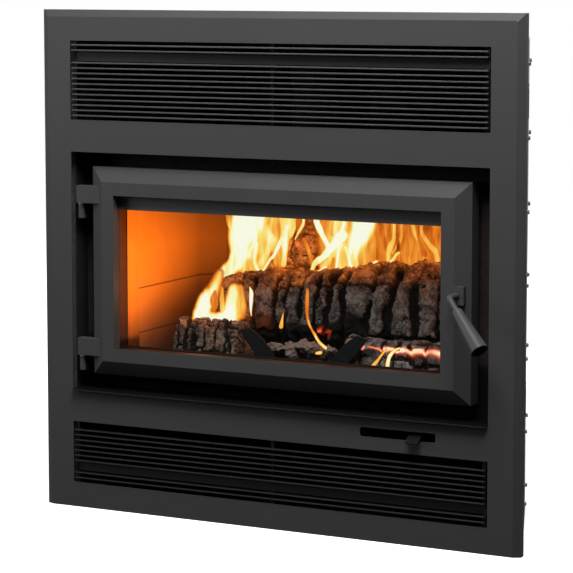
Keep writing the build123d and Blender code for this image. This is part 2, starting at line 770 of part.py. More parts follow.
with BuildPart() as door_frame:
    block((-door_half_width, door_half_width), (door_bottom, door_top), (0, door_depth))
    front_face = door_frame.faces().sort_by(Axis.Y)[0]
    chamfer(front_face.edges(), length=door_bevel_width, length2=door_bevel_depth, reference=front_face)
    back_face = door_frame.faces().sort_by(Axis.Y)[-1]
    offset(amount=-door_sheet, openings=back_face, kind=Kind.INTERSECTION)
    reveal = window_reveal_sheet
    block((window_x[0] - reveal, window_x[1] + reveal), (window_z[0] - reveal, window_z[1] + reveal),
          (door_sheet / 2, glass_front - tape_thickness))
    block(window_x, window_z, (-1, glass_front), Mode.SUBTRACT)
    for x, z in post_places:
        rod_along_depth(x, z, post_radius, (post_front, plate_front))
        rod_along_depth(x, z, screw_radius + screw_fit, (plate_front - screw_pilot, plate_front + 1),
                        Mode.SUBTRACT)
    rod_along_depth(handle_x, handle_z, rod_radius + rod_fit, (-1, bushing_front), Mode.SUBTRACT)
finish(door_frame, "door_frame")

with BuildPart() as door_liner:
    inside = door_half_width - door_sheet
    block((-inside, inside), (door_bottom + door_sheet, door_top - door_sheet), (plate_front, door_depth))
    block((window_x[0] - reveal, window_x[1] + reveal), (window_z[0] - reveal, rear_window_top + reveal),
          (glass_front + glass_thickness + slip, door_depth))
    block(window_x, (window_z[0], rear_window_top), (glass_front, door_depth + 1), Mode.SUBTRACT)
    for x, z in post_places:
        rod_along_depth(x, z, screw_radius + screw_fit, (plate_front - 1, door_depth + 1), Mode.SUBTRACT)
    rod_along_depth(handle_x, handle_z, rod_radius + rod_fit, (plate_front - 1, door_depth + 1),
                    Mode.SUBTRACT)
finish(door_liner, "door_liner")

with BuildPart() as liner_screws:
    for x, z in post_places:
        rod_along_depth(x, z, screw_head_radius, (door_depth, door_depth + screw_head_height))
        rod_along_depth(x, z, screw_radius, (plate_front - screw_length, door_depth))
finish(liner_screws, "door_liner_screws")

with BuildPart() as door_glass:
    block((window_x[0] - glass_lap, window_x[1] + glass_lap),
          (window_z[0] - glass_lap, window_z[1] + glass_lap), (glass_front, glass_front + glass_thickness))
finish(door_glass, "door_glass")

with BuildPart() as glass_tape:
    edge = glass_lap - 1
    block((window_x[0] - edge, window_x[1] + edge), (window_z[0] - edge, window_z[1] + edge),
          (glass_front - tape_thickness, glass_front))
    inner = edge - tape_width
    block((window_x[0] - inner, window_x[1] + inner), (window_z[0] - inner, window_z[1] + inner),
          (glass_front - tape_thickness - 1, glass_front + 1), Mode.SUBTRACT)
finish(glass_tape, "glass_tape")

with BuildPart() as glass_band:
    block(window_x, (window_top - glass_band_height, window_top),
          (glass_front - glass_band_sheet, glass_front))
finish(glass_band, "glass_band")

with BuildPart() as door_rope:
    near = mouth_half_width + rope_inset
    far = near + rope_width
    rope_depth = (door_depth, recess_depth - slip)
    grow = rope_inset + rope_width
    block((-far, far), (mouth_bottom - grow, mouth_top + grow), rope_depth, radius=rope_width + 2)
    block((-near, near), (mouth_bottom - rope_inset, mouth_top + rope_inset),
          (door_depth - 1, recess_depth), Mode.SUBTRACT, mouth_radius)
    fillet(door_rope.faces().sort_by(Axis.Y)[-1].edges(), rope_round)
finish(door_rope, "door_rope_seal")

# ---------------------------------------------------------------- hinges
hinge_x = -(half_opening - hinge_inset)
hinge_block_left = -(half_opening - hinge_block_gap)
hinge_zs = (door_top - upper_hinge_drop, door_bottom + lower_hinge_rise)


def bevel_depth_at(x):
    """Depth of the door's side bevel at a distance x from the door's middle."""
    return (x - bevel_inner) * bevel_slope


block_right = bevel_inner + hinge_block_front / bevel_slope
with BuildPart() as hinge_blocks:
    for z in hinge_zs:
        plan_prism([(hinge_block_left, hinge_block_front), (-block_right, hinge_block_front),
                    (-door_half_width, door_bevel_depth), (-door_half_width, hinge_block_back),
                    (hinge_block_left, hinge_block_back)], (z, z + hinge_block_height))
        rod_upright(hinge_x, hinge_depth, hinge_pin_radius + pin_fit, (z - 1, z + hinge_pin_rise + 1),
                    Mode.SUBTRACT)
finish(hinge_blocks, "hinge_blocks")

with BuildPart() as hinge_brackets:
    for z in hinge_zs:
        top = z - knuckle_drop
        span = (top - knuckle_height, top)
        arm = (hinge_x - hinge_arm_width / 2, hinge_x + hinge_arm_width / 2)
        block(arm, span, (hinge_depth, recess_depth))
        rod_upright(hinge_x, hinge_depth, knuckle_radius, span)
        rod_upright(hinge_x, hinge_depth, hinge_pin_radius, (span[0] - 1, span[1] + 1), Mode.SUBTRACT)
finish(hinge_brackets, "hinge_brackets")

with BuildPart() as hinge_pins:
    for z in hinge_zs:
        rod_upright(hinge_x, hinge_depth, hinge_pin_radius,
                    (z - knuckle_drop - knuckle_height, z + hinge_pin_rise))
finish(hinge_pins, "hinge_pins")

with BuildPart() as hinge_washers:
    for z in hinge_zs:
        low = z - knuckle_drop
        rod_upright(hinge_x, hinge_depth, knuckle_radius, (low, low + washer_thickness))
        rod_upright(hinge_x, hinge_depth, hinge_pin_radius + pin_fit, (low - 1, z), Mode.SUBTRACT)
finish(hinge_washers, "hinge_washers")

# ---------------------------------------------------------------- handle, cam and keeper
handle_boss_right = handle_x + handle_boss_reach
with BuildPart() as handle_boss:
    boss_z = (handle_z - handle_boss_height / 2, handle_z + handle_boss_height / 2)
    plan_prism([(bevel_inner, 0), (handle_boss_right, 0),
                (handle_boss_right, bevel_depth_at(handle_boss_right))], boss_z)
    rod_along_depth(handle_x, handle_z, rod_radius + rod_fit, (-1, bushing_front), Mode.SUBTRACT)
finish(handle_boss, "handle_boss")

with BuildPart() as handle_bushing:
    rod_along_depth(handle_x, handle_z, rod_radius + rod_fit + bushing_wall, (bushing_front, plate_front))
    rod_along_depth(handle_x, handle_z, rod_radius + rod_fit, (bushing_front - 1, plate_front + 1),
                    Mode.SUBTRACT)
finish(handle_bushing, "handle_bushing")

cam_depth = (door_depth + cam_gap, door_depth + cam_gap + cam_thickness)
lean = radians(grip_angle)
tilt = radians(grip_tilt)
grip_direction = Vector(sin(lean) * cos(tilt), -sin(tilt), -cos(lean) * cos(tilt))
elbow = Vector(handle_x, face_y - rod_reach, handle_z)
rod_inner_end = Vector(handle_x, face_y + cam_depth[1], handle_z)
rod_outer_end = elbow + grip_direction * (grip_start + grip_length - grip_mouth_depth)
grip_plane = Plane(origin=elbow, x_dir=(0, 1, 0), z_dir=grip_direction)

with BuildPart() as handle_rod:
    with BuildLine() as rod_path:
        FilletPolyline(rod_inner_end, elbow, rod_outer_end, radius=rod_bend)
    with BuildSketch(Plane(origin=rod_inner_end, z_dir=(0, -1, 0))):
        Circle(rod_radius)
    sweep()
finish(handle_rod, "handle_rod")

with BuildPart() as handle_grip:
    with BuildSketch(grip_plane.offset(grip_start)):
        Circle(grip_small_radius)
    with BuildSketch(grip_plane.offset(grip_start + grip_length)):
        Circle(grip_large_radius)
    loft(ruled=True)
    with BuildSketch(grip_plane.offset(grip_start - 1)):
        Circle(rod_radius + rod_fit)
    extrude(amount=grip_length, mode=Mode.SUBTRACT)
    with BuildSketch(grip_plane.offset(grip_start + grip_length - grip_mouth_depth)):
        Circle(grip_mouth_radius)
    extrude(amount=grip_mouth_depth + 1, mode=Mode.SUBTRACT)
finish(handle_grip, "handle_grip")

with BuildPart() as grip_screw:
    with BuildSketch(grip_plane.offset(grip_start + grip_length - grip_mouth_depth)):
        Circle(grip_washer_radius)
    extrude(amount=grip_washer_sheet)
    with BuildSketch(grip_plane.offset(grip_start + grip_length - grip_mouth_depth)):
        Circle(grip_screw_radius)
    extrude(amount=grip_screw_height)
    fillet(grip_screw.edges().sort_by(lambda edge: edge.center().dot(grip_direction))[-1], grip_screw_round)
finish(grip_screw, "grip_screw")

with BuildPart() as latch_cam:
    rod_along_depth(handle_x, handle_z, cam_hub_radius, (door_depth + slip, cam_depth[1]))
    with BuildSketch(wall_plane(cam_depth[0])):
        with Locations((handle_x + finger_reach / 2, handle_z)):
            Rectangle(finger_reach, finger_height)
    extrude(amount=-cam_thickness)
    rod_along_depth(handle_x, handle_z, rod_radius, (door_depth, cam_depth[1] + 1), Mode.SUBTRACT)
finish(latch_cam, "latch_cam")

with BuildPart() as latch_keeper:
    keeper_z = (handle_z - keeper_height / 2, handle_z + keeper_height / 2)
    keeper_wall = handle_x + finger_reach + keeper_cam_gap
    keeper_front = door_depth + keeper_door_gap
    block((keeper_wall - keeper_overlap, keeper_wall + keeper_sheet), keeper_z,
          (keeper_front, keeper_front + keeper_sheet))
    block((keeper_wall, keeper_wall + keeper_sheet), keeper_z, (keeper_front, recess_depth))
finish(latch_keeper, "latch_keeper")

# ---------------------------------------------------------------- combustion-air slide
with BuildPart() as air_lever:
    lap_start = shutter_front + lever_joggle_end
    with BuildSketch(side_plane(lever_span[0])):
        with BuildLine():
            Polyline((lap_start + lever_lap, shutter_bottom), (lap_start, shutter_bottom),
                     (lap_start - lever_joggle, lever_top), (0, lever_top),
                     (-lever_tip_reach, lever_top - lever_tip_drop))
            offset(amount=lever_sheet, side=Side.LEFT)
        make_face()
    extrude(amount=lever_width)
    tip_edges = air_lever.edges().filter_by(lambda e: abs(e.length - lever_sheet) < 0.2).group_by(Axis.Y)[0]
    fillet(tip_edges, lever_tip_radius)
finish(air_lever, "air_lever")

with BuildPart() as air_shutter:
    block(shutter_span, (shutter_bottom, shutter_bottom + shutter_sheet), (shutter_front, shutter_back))
    for x in port_middles:
        block((x - port_width / 2, x + port_width / 2), (shutter_bottom - 1, firebox_bottom), port_span,
              Mode.SUBTRACT)
finish(air_shutter, "air_shutter")

with BuildPart() as air_rails:
    travel_left = lever_span[0] - slot_left - lever_end_gap
    travel_right = slot_right - lever_span[1] - lever_end_gap
    rail_x = (shutter_span[0] - travel_left - rail_overrun, shutter_span[1] + travel_right + rail_overrun)
    ledge_top = shutter_bottom - slip
    for near, side in ((shutter_front - slip, -1), (shutter_back + slip, 1)):
        far = near + side * rail_sheet
        wall = sorted((near, far))
        ledge = sorted((far, far - side * rail_ledge))
        block(rail_x, (ledge_top - rail_sheet, firebox_bottom), wall)
        block(rail_x, (ledge_top - rail_sheet, ledge_top), ledge)
finish(air_rails, "air_slide_rails")

# ---------------------------------------------------------------- andirons and logs
iron_bar_bottom = floor_z + iron_bar_rise
iron_bar_top = iron_bar_bottom + iron_bar_height
iron_front = brick_front + iron_setback
iron_back = back_wall - iron_rear_gap
with BuildPart() as andirons:
    for sign in (-1, 1):
        x = iron_middle + sign * iron_spacing
        leg_z = (floor_z, iron_bar_bottom)
        across = (x - iron_width / 2, x + iron_width / 2)
        block(across, (iron_bar_bottom, iron_bar_top), (iron_front, iron_back))
        block(across, leg_z, (iron_front + iron_leg, iron_front + 2 * iron_leg))
        block(across, leg_z, (iron_back - iron_leg, iron_back))
        with BuildSketch(wall_plane(iron_front)):
            with BuildLine():
                foot = (x, iron_bar_bottom)
                head = (x + sign * horn_lean, iron_bar_bottom + horn_rise)
                inner_swell = horn_lean * 0.5 + horn_width / 2
                outer = ThreePointArc((foot[0] - sign * horn_width / 2, foot[1]),
                                      (foot[0] + sign * (horn_lean * 0.42 - horn_width / 2),
                                       foot[1] + horn_rise * 0.6),
                                      (head[0] - sign * horn_width / 2, head[1]))
                Line(outer @ 1, (head[0] + sign * horn_width / 3, head[1] - horn_width / 5))
                ThreePointArc((head[0] + sign * horn_width / 3, head[1] - horn_width / 5),
                              (foot[0] + sign * inner_swell, foot[1] + horn_rise * 0.45),
                              (foot[0] + sign * horn_width / 2, foot[1]))
                Line((foot[0] + sign * horn_width / 2, foot[1]), outer @ 0)
            make_face()
        extrude(amount=-horn_thickness)
finish(andirons, "andirons")


def make_log(name, radius, span, depth, z, wobble):
    """A split log: a many-sided bar, a little uneven from end to end."""
    with BuildPart() as log:
        for share, scale in ((0.0, 0.94), (0.35, 1.0), (0.7, 0.97), (1.0, 0.92)):
            with BuildSketch(side_plane(span[0] + share * (span[1] - span[0]))):
                with Locations((depth, z)):
                    RegularPolygon(radius * scale, log_sides, rotation=wobble)
        loft(ruled=True)
    finish(log, name)


back_log_z = iron_bar_top + slip + back_log_radius
right_log_depth = iron_front + horn_thickness + right_log_front_gap + right_log_radius


def reach_over(radius, z):
    """Depth from the back log's middle to that of a log at height z that just touches it."""
    return ((back_log_radius + radius + log_gap) ** 2 - (z - back_log_z) ** 2) ** 0.5


# the right log lies against the horns, and the back log against the right one
back_log_depth = right_log_depth + reach_over(right_log_radius, floor_z + right_log_radius)
back_log_right = mouth_half_width - back_log_side_gap
make_log("back_log", back_log_radius, (back_log_right - back_log_length, back_log_right),
         back_log_depth, back_log_z, 18)

rear_log_depth = back_wall - log_gap - rear_log_radius
rear_reach = back_log_radius + rear_log_radius + log_gap
rear_log_z = back_log_z + (rear_reach ** 2 - (rear_log_depth - back_log_depth) ** 2) ** 0.5
rear_log_right = back_half_width - rear_log_side_gap
make_log("rear_log", rear_log_radius, (rear_log_right - rear_log_length, rear_log_right),
         rear_log_depth, rear_log_z, 18)

left_span = (front_log_side_gap - mouth_half_width,
             iron_middle - iron_spacing - horn_lean - horn_width / 2 - horn_log_gap)
right_span = (iron_middle + iron_spacing + iron_width / 2 + horn_log_gap,
              mouth_half_width - right_log_side_gap)
chunk_middle = iron_middle - chunk_shift
for name, radius, span in (
        ("front_left_log", front_log_radius, left_span),
        ("front_right_log", right_log_radius, right_span),
        ("charred_chunk", chunk_radius, (chunk_middle - chunk_length / 2, chunk_middle + chunk_length / 2))):
    z = floor_z + radius
    make_log(name, radius, span, back_log_depth - reach_over(radius, z), z, 18)
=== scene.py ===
"""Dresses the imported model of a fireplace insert: black steel, hot firebrick, charred logs, embers and fire.

Laid out as a Blender add-on and run as a script. Lengths are in metres in the model's own frame: X to the
right, Y away from the viewer, Z up, with the hearth at Z = 0.
"""

import math
from functools import cached_property
from typing import NamedTuple

import bmesh
import bpy
import numpy as np
from bpy.props import FloatProperty, FloatVectorProperty, PointerProperty
from mathutils import Matrix, Vector


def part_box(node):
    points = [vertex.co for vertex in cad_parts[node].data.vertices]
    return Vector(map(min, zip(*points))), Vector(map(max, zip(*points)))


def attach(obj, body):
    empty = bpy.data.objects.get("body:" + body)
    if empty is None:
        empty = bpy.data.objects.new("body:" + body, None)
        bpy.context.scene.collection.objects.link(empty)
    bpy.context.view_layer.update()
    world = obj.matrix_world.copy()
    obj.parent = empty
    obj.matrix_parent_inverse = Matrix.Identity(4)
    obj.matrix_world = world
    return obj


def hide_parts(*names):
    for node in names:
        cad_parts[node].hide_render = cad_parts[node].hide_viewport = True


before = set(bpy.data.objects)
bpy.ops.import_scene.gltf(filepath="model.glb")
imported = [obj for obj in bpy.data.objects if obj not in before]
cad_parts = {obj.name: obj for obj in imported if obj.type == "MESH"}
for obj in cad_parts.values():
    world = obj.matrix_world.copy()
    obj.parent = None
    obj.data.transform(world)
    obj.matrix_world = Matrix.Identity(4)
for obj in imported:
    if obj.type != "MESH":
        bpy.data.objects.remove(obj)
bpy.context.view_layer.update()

bl_info = {
    "name": "Fireplace insert dressing",
    "version": (1, 0, 0),
    "blender": (4, 5, 0),
    "location": "View3D > Sidebar > Hearth",
    "description": "Finishes, logs, embers and flames for the packed fireplace insert",
    "category": "Object",
}

FACE_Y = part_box("faceplate")[0].y
FLOOR_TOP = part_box("floor_bricks")[1].z
SILL = (0.335, 0.345)  # heights between which the painted shade on the window's ledges fades out, going up
MM = 0.001


# ---- shader maths
def maths(operation, swapped=False):
    """A method that adds a Math node for its value and the others given."""
    def method(value, *others):
        return value.finish.math(operation, *((*others, value) if swapped else (value, *others)))
    return method


class Value:
    """A number's socket. An expression on values adds the Math nodes that work it out."""

    def __init__(self, finish, socket):
        self.finish = finish
        self.socket = socket

    __add__ = __radd__ = maths("ADD")
    __mul__ = __rmul__ = maths("MULTIPLY")
    __sub__ = maths("SUBTRACT")
    __rsub__ = maths("SUBTRACT", swapped=True)
    __rtruediv__ = maths("DIVIDE", swapped=True)
    __pow__ = maths("POWER")
    __abs__ = maths("ABSOLUTE")
    sine, exponent, least, most = maths("SINE"), maths("EXPONENT"), maths("MINIMUM"), maths("MAXIMUM")

    def clamped(self):
        return self.finish.math("ADD", self, 0.0, clamp=True)

    def step(self, low, high):
        """0 below low, 1 above high and a smooth rise between, or a fall where low is the higher one."""
        return self.finish.socket("ShaderNodeMapRange", "Result", {"interpolation_type": "SMOOTHSTEP"},
                                  {"Value": self, "From Min": low, "From Max": high})


class Finish:
    """A node tree being built: a new material's, or that of a given world."""

    def __init__(self, name, world=None):
        self.owner = world or bpy.data.materials.new(name)
        self.owner.use_nodes = True
        self.tree = self.owner.node_tree
        self.tree.nodes.clear()

    def node(self, kind, settings=None, sockets=None):
        """One node: its settings first, then the values or links of its sockets, by name or by number."""
        made = self.tree.nodes.new(kind)
        for key, value in (settings or {}).items():
            if key == "stops":
                self.set_stops(made.color_ramp, value)
            else:
                setattr(made, key, value)
        for key, value in (sockets or {}).items():
            self.feed(made.inputs[key], value)
        return made

    def feed(self, target, value):
        """Links or sets a socket. A grey may be given as one number."""
        if isinstance(value, Value):
            value = value.socket
        if isinstance(value, bpy.types.NodeSocket):
            self.tree.links.new(value, target)
            return
        if target.type in ("RGBA", "VECTOR") and isinstance(value, float):
            value = (value,) * 3
        target.default_value = (*value, 1.0) if target.type == "RGBA" else value

    @staticmethod
    def set_stops(ramp, stops):
        while len(ramp.elements) < len(stops):
            ramp.elements.new(1.0)
        for element, (place, colour) in zip(ramp.elements, stops):
            element.position = place
            element.color = (*colour, 1.0)

    def socket(self, kind, output, settings=None, sockets=None):
        """A new node's named output, wrapped as a value."""
        return Value(self, self.node(kind, settings, sockets).outputs[output])

    def math(self, operation, *values, clamp=False):
        return self.socket("ShaderNodeMath", 0, {"operation": operation, "use_clamp": clamp},
                           dict(enumerate(values)))

    def vector_math(self, operation, *values, output=0):
        return self.socket("ShaderNodeVectorMath", output, {"operation": operation}, dict(enumerate(values)))

    @cached_property
    def where(self):
        """The point being shaded, in the model's frame at rest."""
        return self.socket("ShaderNodeTexCoord", "Object")

    @cached_property
    def xyz(self):
        return self.parts(self.where)

    def parts(self, vector):
        """The three numbers of a vector or a colour."""
        split = self.node("ShaderNodeSeparateXYZ", None, {0: vector})
        return [Value(self, output) for output in split.outputs]

    def mix(self, share, low, high):
        """A colour between two others."""
        return self.socket("ShaderNodeMix", 2, {"data_type": "RGBA"}, {0: share, 6: low, 7: high})

    def coats(self, colour, *others):
        """A colour with others laid over it one by one: (share, colour) each."""
        for share, other in others:
            colour = self.mix(share, colour, other)
        return colour

    def shining(self, colour, strength):
        """The shader's sockets that make a surface give off light of a colour."""
        light = self.socket("ShaderNodeVectorMath", 0, {"operation": "SCALE"}, {0: colour, "Scale": strength})
        return {"Emission_Color": light, "Emission_Strength": 1.0}

    def noise(self, scale, detail=2.0, roughness=0.5):
        """Soft noise. Its scale is one number, or three where it is drawn out along an axis."""
        where = self.where
        if isinstance(scale, tuple):
            where, scale = self.vector_math("MULTIPLY", where, scale), 1.0
        return self.socket("ShaderNodeTexNoise", "Fac", None,
                           {"Vector": where, "Scale": scale, "Detail": detail, "Roughness": roughness})

    def cells(self, scale, output="Distance"):
        return self.socket("ShaderNodeTexVoronoi", output, None, {"Vector": self.where, "Scale": scale})

    def ramp(self, value, stops):
        return self.socket("ShaderNodeValToRGB", "Color", {"stops": stops}, {0: value})

    def attribute(self, name):
        return self.socket("ShaderNodeAttribute", "Fac", {"attribute_name": name})

    def bump(self, height, depth, strength, normal=None):
        sockets = {"Height": height, "Distance": depth, "Strength": strength}
        if normal is not None:
            sockets["Normal"] = normal
        return self.socket("ShaderNodeBump", 0, None, sockets)

    def shader(self, **sockets):
        named = {key.replace("_", " "): value for key, value in sockets.items()}
        return self.node("ShaderNodeBsdfPrincipled", None, named).outputs[0]

    def output(self, shader):
        self.node("ShaderNodeOutputMaterial", None, {"Surface": shader})
        return self.owner

    def surface(self, **sockets):
        """The material, with the Principled shader on its output."""
        return self.output(self.shader(**sockets))


def dress(material, *nodes):
    """Gives CAD nodes a finish."""
    for name in nodes:
        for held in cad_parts[name].material_slots:
            held.material = material


# ---- objects and meshes
def add_object(name, data, place=(0.0, 0.0, 0.0)):
    made = bpy.data.objects.new(name, data)
    made.location = place
    bpy.context.collection.objects.link(made)
    return made


def smooth_mesh(name, points, faces, **attributes):
    """A smooth-shaded mesh. Its attributes are numbers at its points, for its finish to read."""
    mesh = bpy.data.meshes.new(name)
    mesh.from_pydata(points.tolist(), [], faces)
    mesh.polygons.foreach_set("use_smooth", [True] * len(mesh.polygons))
    for key, values in attributes.items():
        values = np.broadcast_to(values, len(points)).astype(np.float32)
        mesh.attributes.new(key, "FLOAT", "POINT").data.foreach_set("value", values)
    return mesh


def grid_faces(wide, high):
    """Corner numbers of a grid's squares, row by row."""
    first = np.arange(high - 1)[:, None] * wide + np.arange(wide - 1)
    return first.reshape(-1, 1) + np.array((0, 1, wide + 1, wide))


class SoftNoise:
    """Repeatable soft noise for shaping a surface, from -1 to 1."""

    LATTICE = 48

    def __init__(self, seed):
        self.values = np.random.default_rng(seed).uniform(-1, 1, (self.LATTICE,) * 3)

    def __call__(self, points, size):
        spot = points / size
        cell = np.floor(spot).astype(int)
        part = spot - cell
        part = part ** 3 * (part * (part * 6 - 15) + 10)
        total = np.zeros(len(points))
        for corner in np.ndindex(2, 2, 2):
            share = np.prod(np.where(corner, part, 1 - part), axis=1)
            i, j, k = ((cell + corner) % self.LATTICE).T
            total += share * self.values[i, j, k]
        return total

    def layered(self, points, size, layers=4, fade=0.55):
        return sum(fade ** n * self(points + 7.3 * n, size / 2 ** n) for n in range(layers))


def ramp_up(low, high, values):
    """0 below low, 1 above high and a smooth rise between, or a fall where low is the higher one."""
    t = np.clip((values - low) / (high - low), 0, 1)
    return t * t * (3 - 2 * t)


# ---- settings
def swatch(name, description, default):
    return FloatVectorProperty(name=name, description=description, default=default, subtype="COLOR", size=3,
                               min=0.0, max=1.0)


def number(name, description, default, **more):
    return FloatProperty(name=name, description=description, default=default, **more)


class PaintSettings(bpy.types.PropertyGroup):
    """Satin black paint on the face, the grilles and the door."""

    colour: swatch("Colour", "Colour of the paint", (0.045, 0.045, 0.046))
    # this colour also paints a highlight along the edges
    worn_and_highlight: swatch("Rubbed edge and highlight", "Colour of the paint where edges are rubbed", (0.075, 0.075, 0.078))
    roughness: number("Roughness", "Roughness of the paint", 0.42, subtype="FACTOR")
    edge: number("Edge radius", "Rounding of the folded and cut edges", 0.0012, unit="LENGTH")


class FireSettings(bpy.types.PropertyGroup):
    """The fire and what it lights."""

    glow: number("Glow", "Strength of the light on the bricks", 1.0, min=0.0)
    glow_colour: swatch("Glow colour", "Colour of the firelight", (1.0, 0.163, 0.006))
    lamps: number("Fire lamps", "Power of the lamps among the logs", 1.0, unit="POWER")


class StageSettings(bpy.types.PropertyGroup):
    """Floor, lamps and camera."""

    floor_size: number("Floor", "Side of the floor", 14.0, unit="LENGTH")
    key_light: number("Key light", "Power of the soft lamp above", 93.0, unit="POWER")
    fill_light: number("Fill light", "Power of the soft lamp at the left", 34.0, unit="POWER")
    wash_light: number("Wash", "Power of the soft strip over the face", 7.0, unit="POWER")
    rear_light: number("Rear light", "Power of the soft lamp behind", 60.0, unit="POWER")
    ambient: number("Ambient", "Strength of the room's own light", 0.035)


# ---- stage
CAMERA_PLACE = (2.1246, -4.3214, 1.0720)
CAMERA_TURN = 27.25  # degrees to the right of the face's axis
CAMERA_TILT = 6.07  # degrees down
CAMERA_LENS = 151.48
CAMERA_SHIFT = -0.10
STUDIO_LAMPS = (  # name, place, what it points at, size, the setting with its power
    ("key_softbox", (0.60, -1.30, 2.58), (0.0, FACE_Y, 0.5), (1.6, 1.2), "key_light"),
    ("fill_softbox", (-2.51, -1.71, 1.28), (0.0, FACE_Y, 0.5), (1.5, 1.5), "fill_light"),
    ("wash_softbox", (-0.10, -0.60, 1.75), (0.0, FACE_Y, 0.7), (1.6, 0.3), "wash_light"),
    ("rear_softbox", (-1.8, 3.2, 2.6), (0.0, 0.0, 0.5), (2.5, 2.0), "rear_light"),
)
FLOOR_DROP = 0.0005  # how far the floor lies under the object


def area_lamp(name, place, target, size, power, colour=(1.0, 1.0, 1.0)):
    """A soft rectangular lamp turned towards its target."""
    data = bpy.data.lights.new(name, "AREA")
    data.shape = "RECTANGLE"
    data.size, data.size_y = size
    data.energy = power
    data.color = colour
    lamp = add_object(name, data, place)
    lamp.rotation_euler = (Vector(target) - Vector(place)).to_track_quat("-Z", "Y").to_euler()
    lamp.visible_camera = False


def background_rays(finish):
    """1 for rays straight from the camera, for those off a glossy face and for those through glass."""
    path = finish.node("ShaderNodeLightPath")
    return [Value(finish, path.outputs[name])
            for name in ("Is Camera Ray", "Is Glossy Ray", "Is Transmission Ray")]


def studio_world(ambient):
    """White behind the object, and a dim room for the light that falls on it."""
    world = bpy.data.worlds.new("studio")
    bpy.context.scene.world = world
    sky = Finish("studio", world)
    camera, glossy, passing = background_rays(sky)
    _, away, above = sky.parts(sky.socket("ShaderNodeTexCoord", "Generated"))
    white = camera.most((glossy + passing) * away.step(-0.05, 0.35))
    room = (0.25 + above.step(-0.2, 0.9) * 0.75) * ambient
    shade = sky.node("ShaderNodeBackground", None,
                     {"Color": (1.0, 1.0, 1.0), "Strength": white + (1 - white) * room})
    sky.node("ShaderNodeOutputWorld", None, {"Surface": shade.outputs[0]})


def pale_floor(size):
    """A plain floor that looks white and keeps the shadow round the object."""
    half = size / 2
    mesh = bpy.data.meshes.new("floor")
    mesh.from_pydata([(-half, -half, 0), (half, -half, 0), (half, half, 0), (-half, half, 0)], [],
                     [(0, 1, 2, 3)])
    finish = Finish("pale_floor")
    camera, glossy, passing = background_rays(finish)
    seen = (camera + glossy * 0.15 + passing).clamped()
    away = finish.vector_math("LENGTH", finish.where, output="Value")
    shine = seen * (0.70 + away.step(0.7, 2.2) * 0.30)
    mesh.materials.append(finish.surface(
        Base_Color=finish.mix(seen, 0.02, 0.80), Roughness=0.9, Specular_IOR_Level=0.0,
        **finish.shining(1.0, shine)))
    floor = add_object("floor", mesh, (0.0, 0.0, -FLOOR_DROP))


def studio_camera():
    data = bpy.data.cameras.new("camera")
    data.lens = CAMERA_LENS
    data.sensor_width = 36.0
    data.shift_y = CAMERA_SHIFT
    data.clip_end = 50.0
    camera = add_object("camera", data, CAMERA_PLACE)
    camera.rotation_euler = (math.radians(90 - CAMERA_TILT), 0.0, math.radians(CAMERA_TURN))
    bpy.context.scene.camera = camera


class HEARTH_OT_stage(bpy.types.Operator):
    """Sets up the floor, the soft lamps, the background and the camera"""

    bl_idname = "hearth.stage"
    bl_label = "Stage"

    def execute(self, context):
        settings = context.scene.hearth_stage
        context.scene.view_settings.view_transform = "Standard"
        studio_world(settings.ambient)
        pale_floor(settings.floor_size)
        for *lamp, setting in STUDIO_LAMPS:
            area_lamp(*lamp, getattr(settings, setting))
        studio_camera()
        return {"FINISHED"}


# ---- painted steel
PAINTED = ("faceplate", "faceplate_brackets", "upper_grille_slats", "door_frame", "hinge_brackets",
           "hinge_blocks", "handle_boss", "handle_bushing", "handle_rod", "handle_grip")
PAINTS = (  # name, how light it is beside the face's paint (below 1 a painted-shade copy, above 1 a painted-light copy), nodes
    ("satin_black_paint", 1.0, PAINTED),
    ("flat_black_primer", 0.33, ("recess_liner", "ash_lip")),
    ("shaded_satin_paint", 0.6, ("lower_grille_slats", "air_lever")),
    ("band_paint", 0.46, ("upper_grille_band", "lower_grille_band")),
    ("black_comb_paint", 0.15, ("upper_grille_combs", "lower_grille_combs")),
    ("grey_enamel", 2.2, ("glass_band",)),
)
CLOUDED_PAINT = (0.060, 0.060, 0.061)
SEAM_LENGTH = 0.010  # inwards from the face's upper corners
# painted shade: how far undersides and the upward ledges below the window are darkened
SHADE_ON_UNDERSIDES, SHADE_ON_LEDGES = 0.92, 0.93


def mitre_seams(finish):
    """The dark open seam where the face's bevels meet at its two upper corners."""
    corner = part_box("faceplate")[1]
    x, _, z = finish.xyz
    inward, down = corner.x - abs(x), corner.z - z
    return abs(inward - down).step(0.0009, 0.0004) * inward.step(SEAM_LENGTH + 0.0005, SEAM_LENGTH - 0.0005)


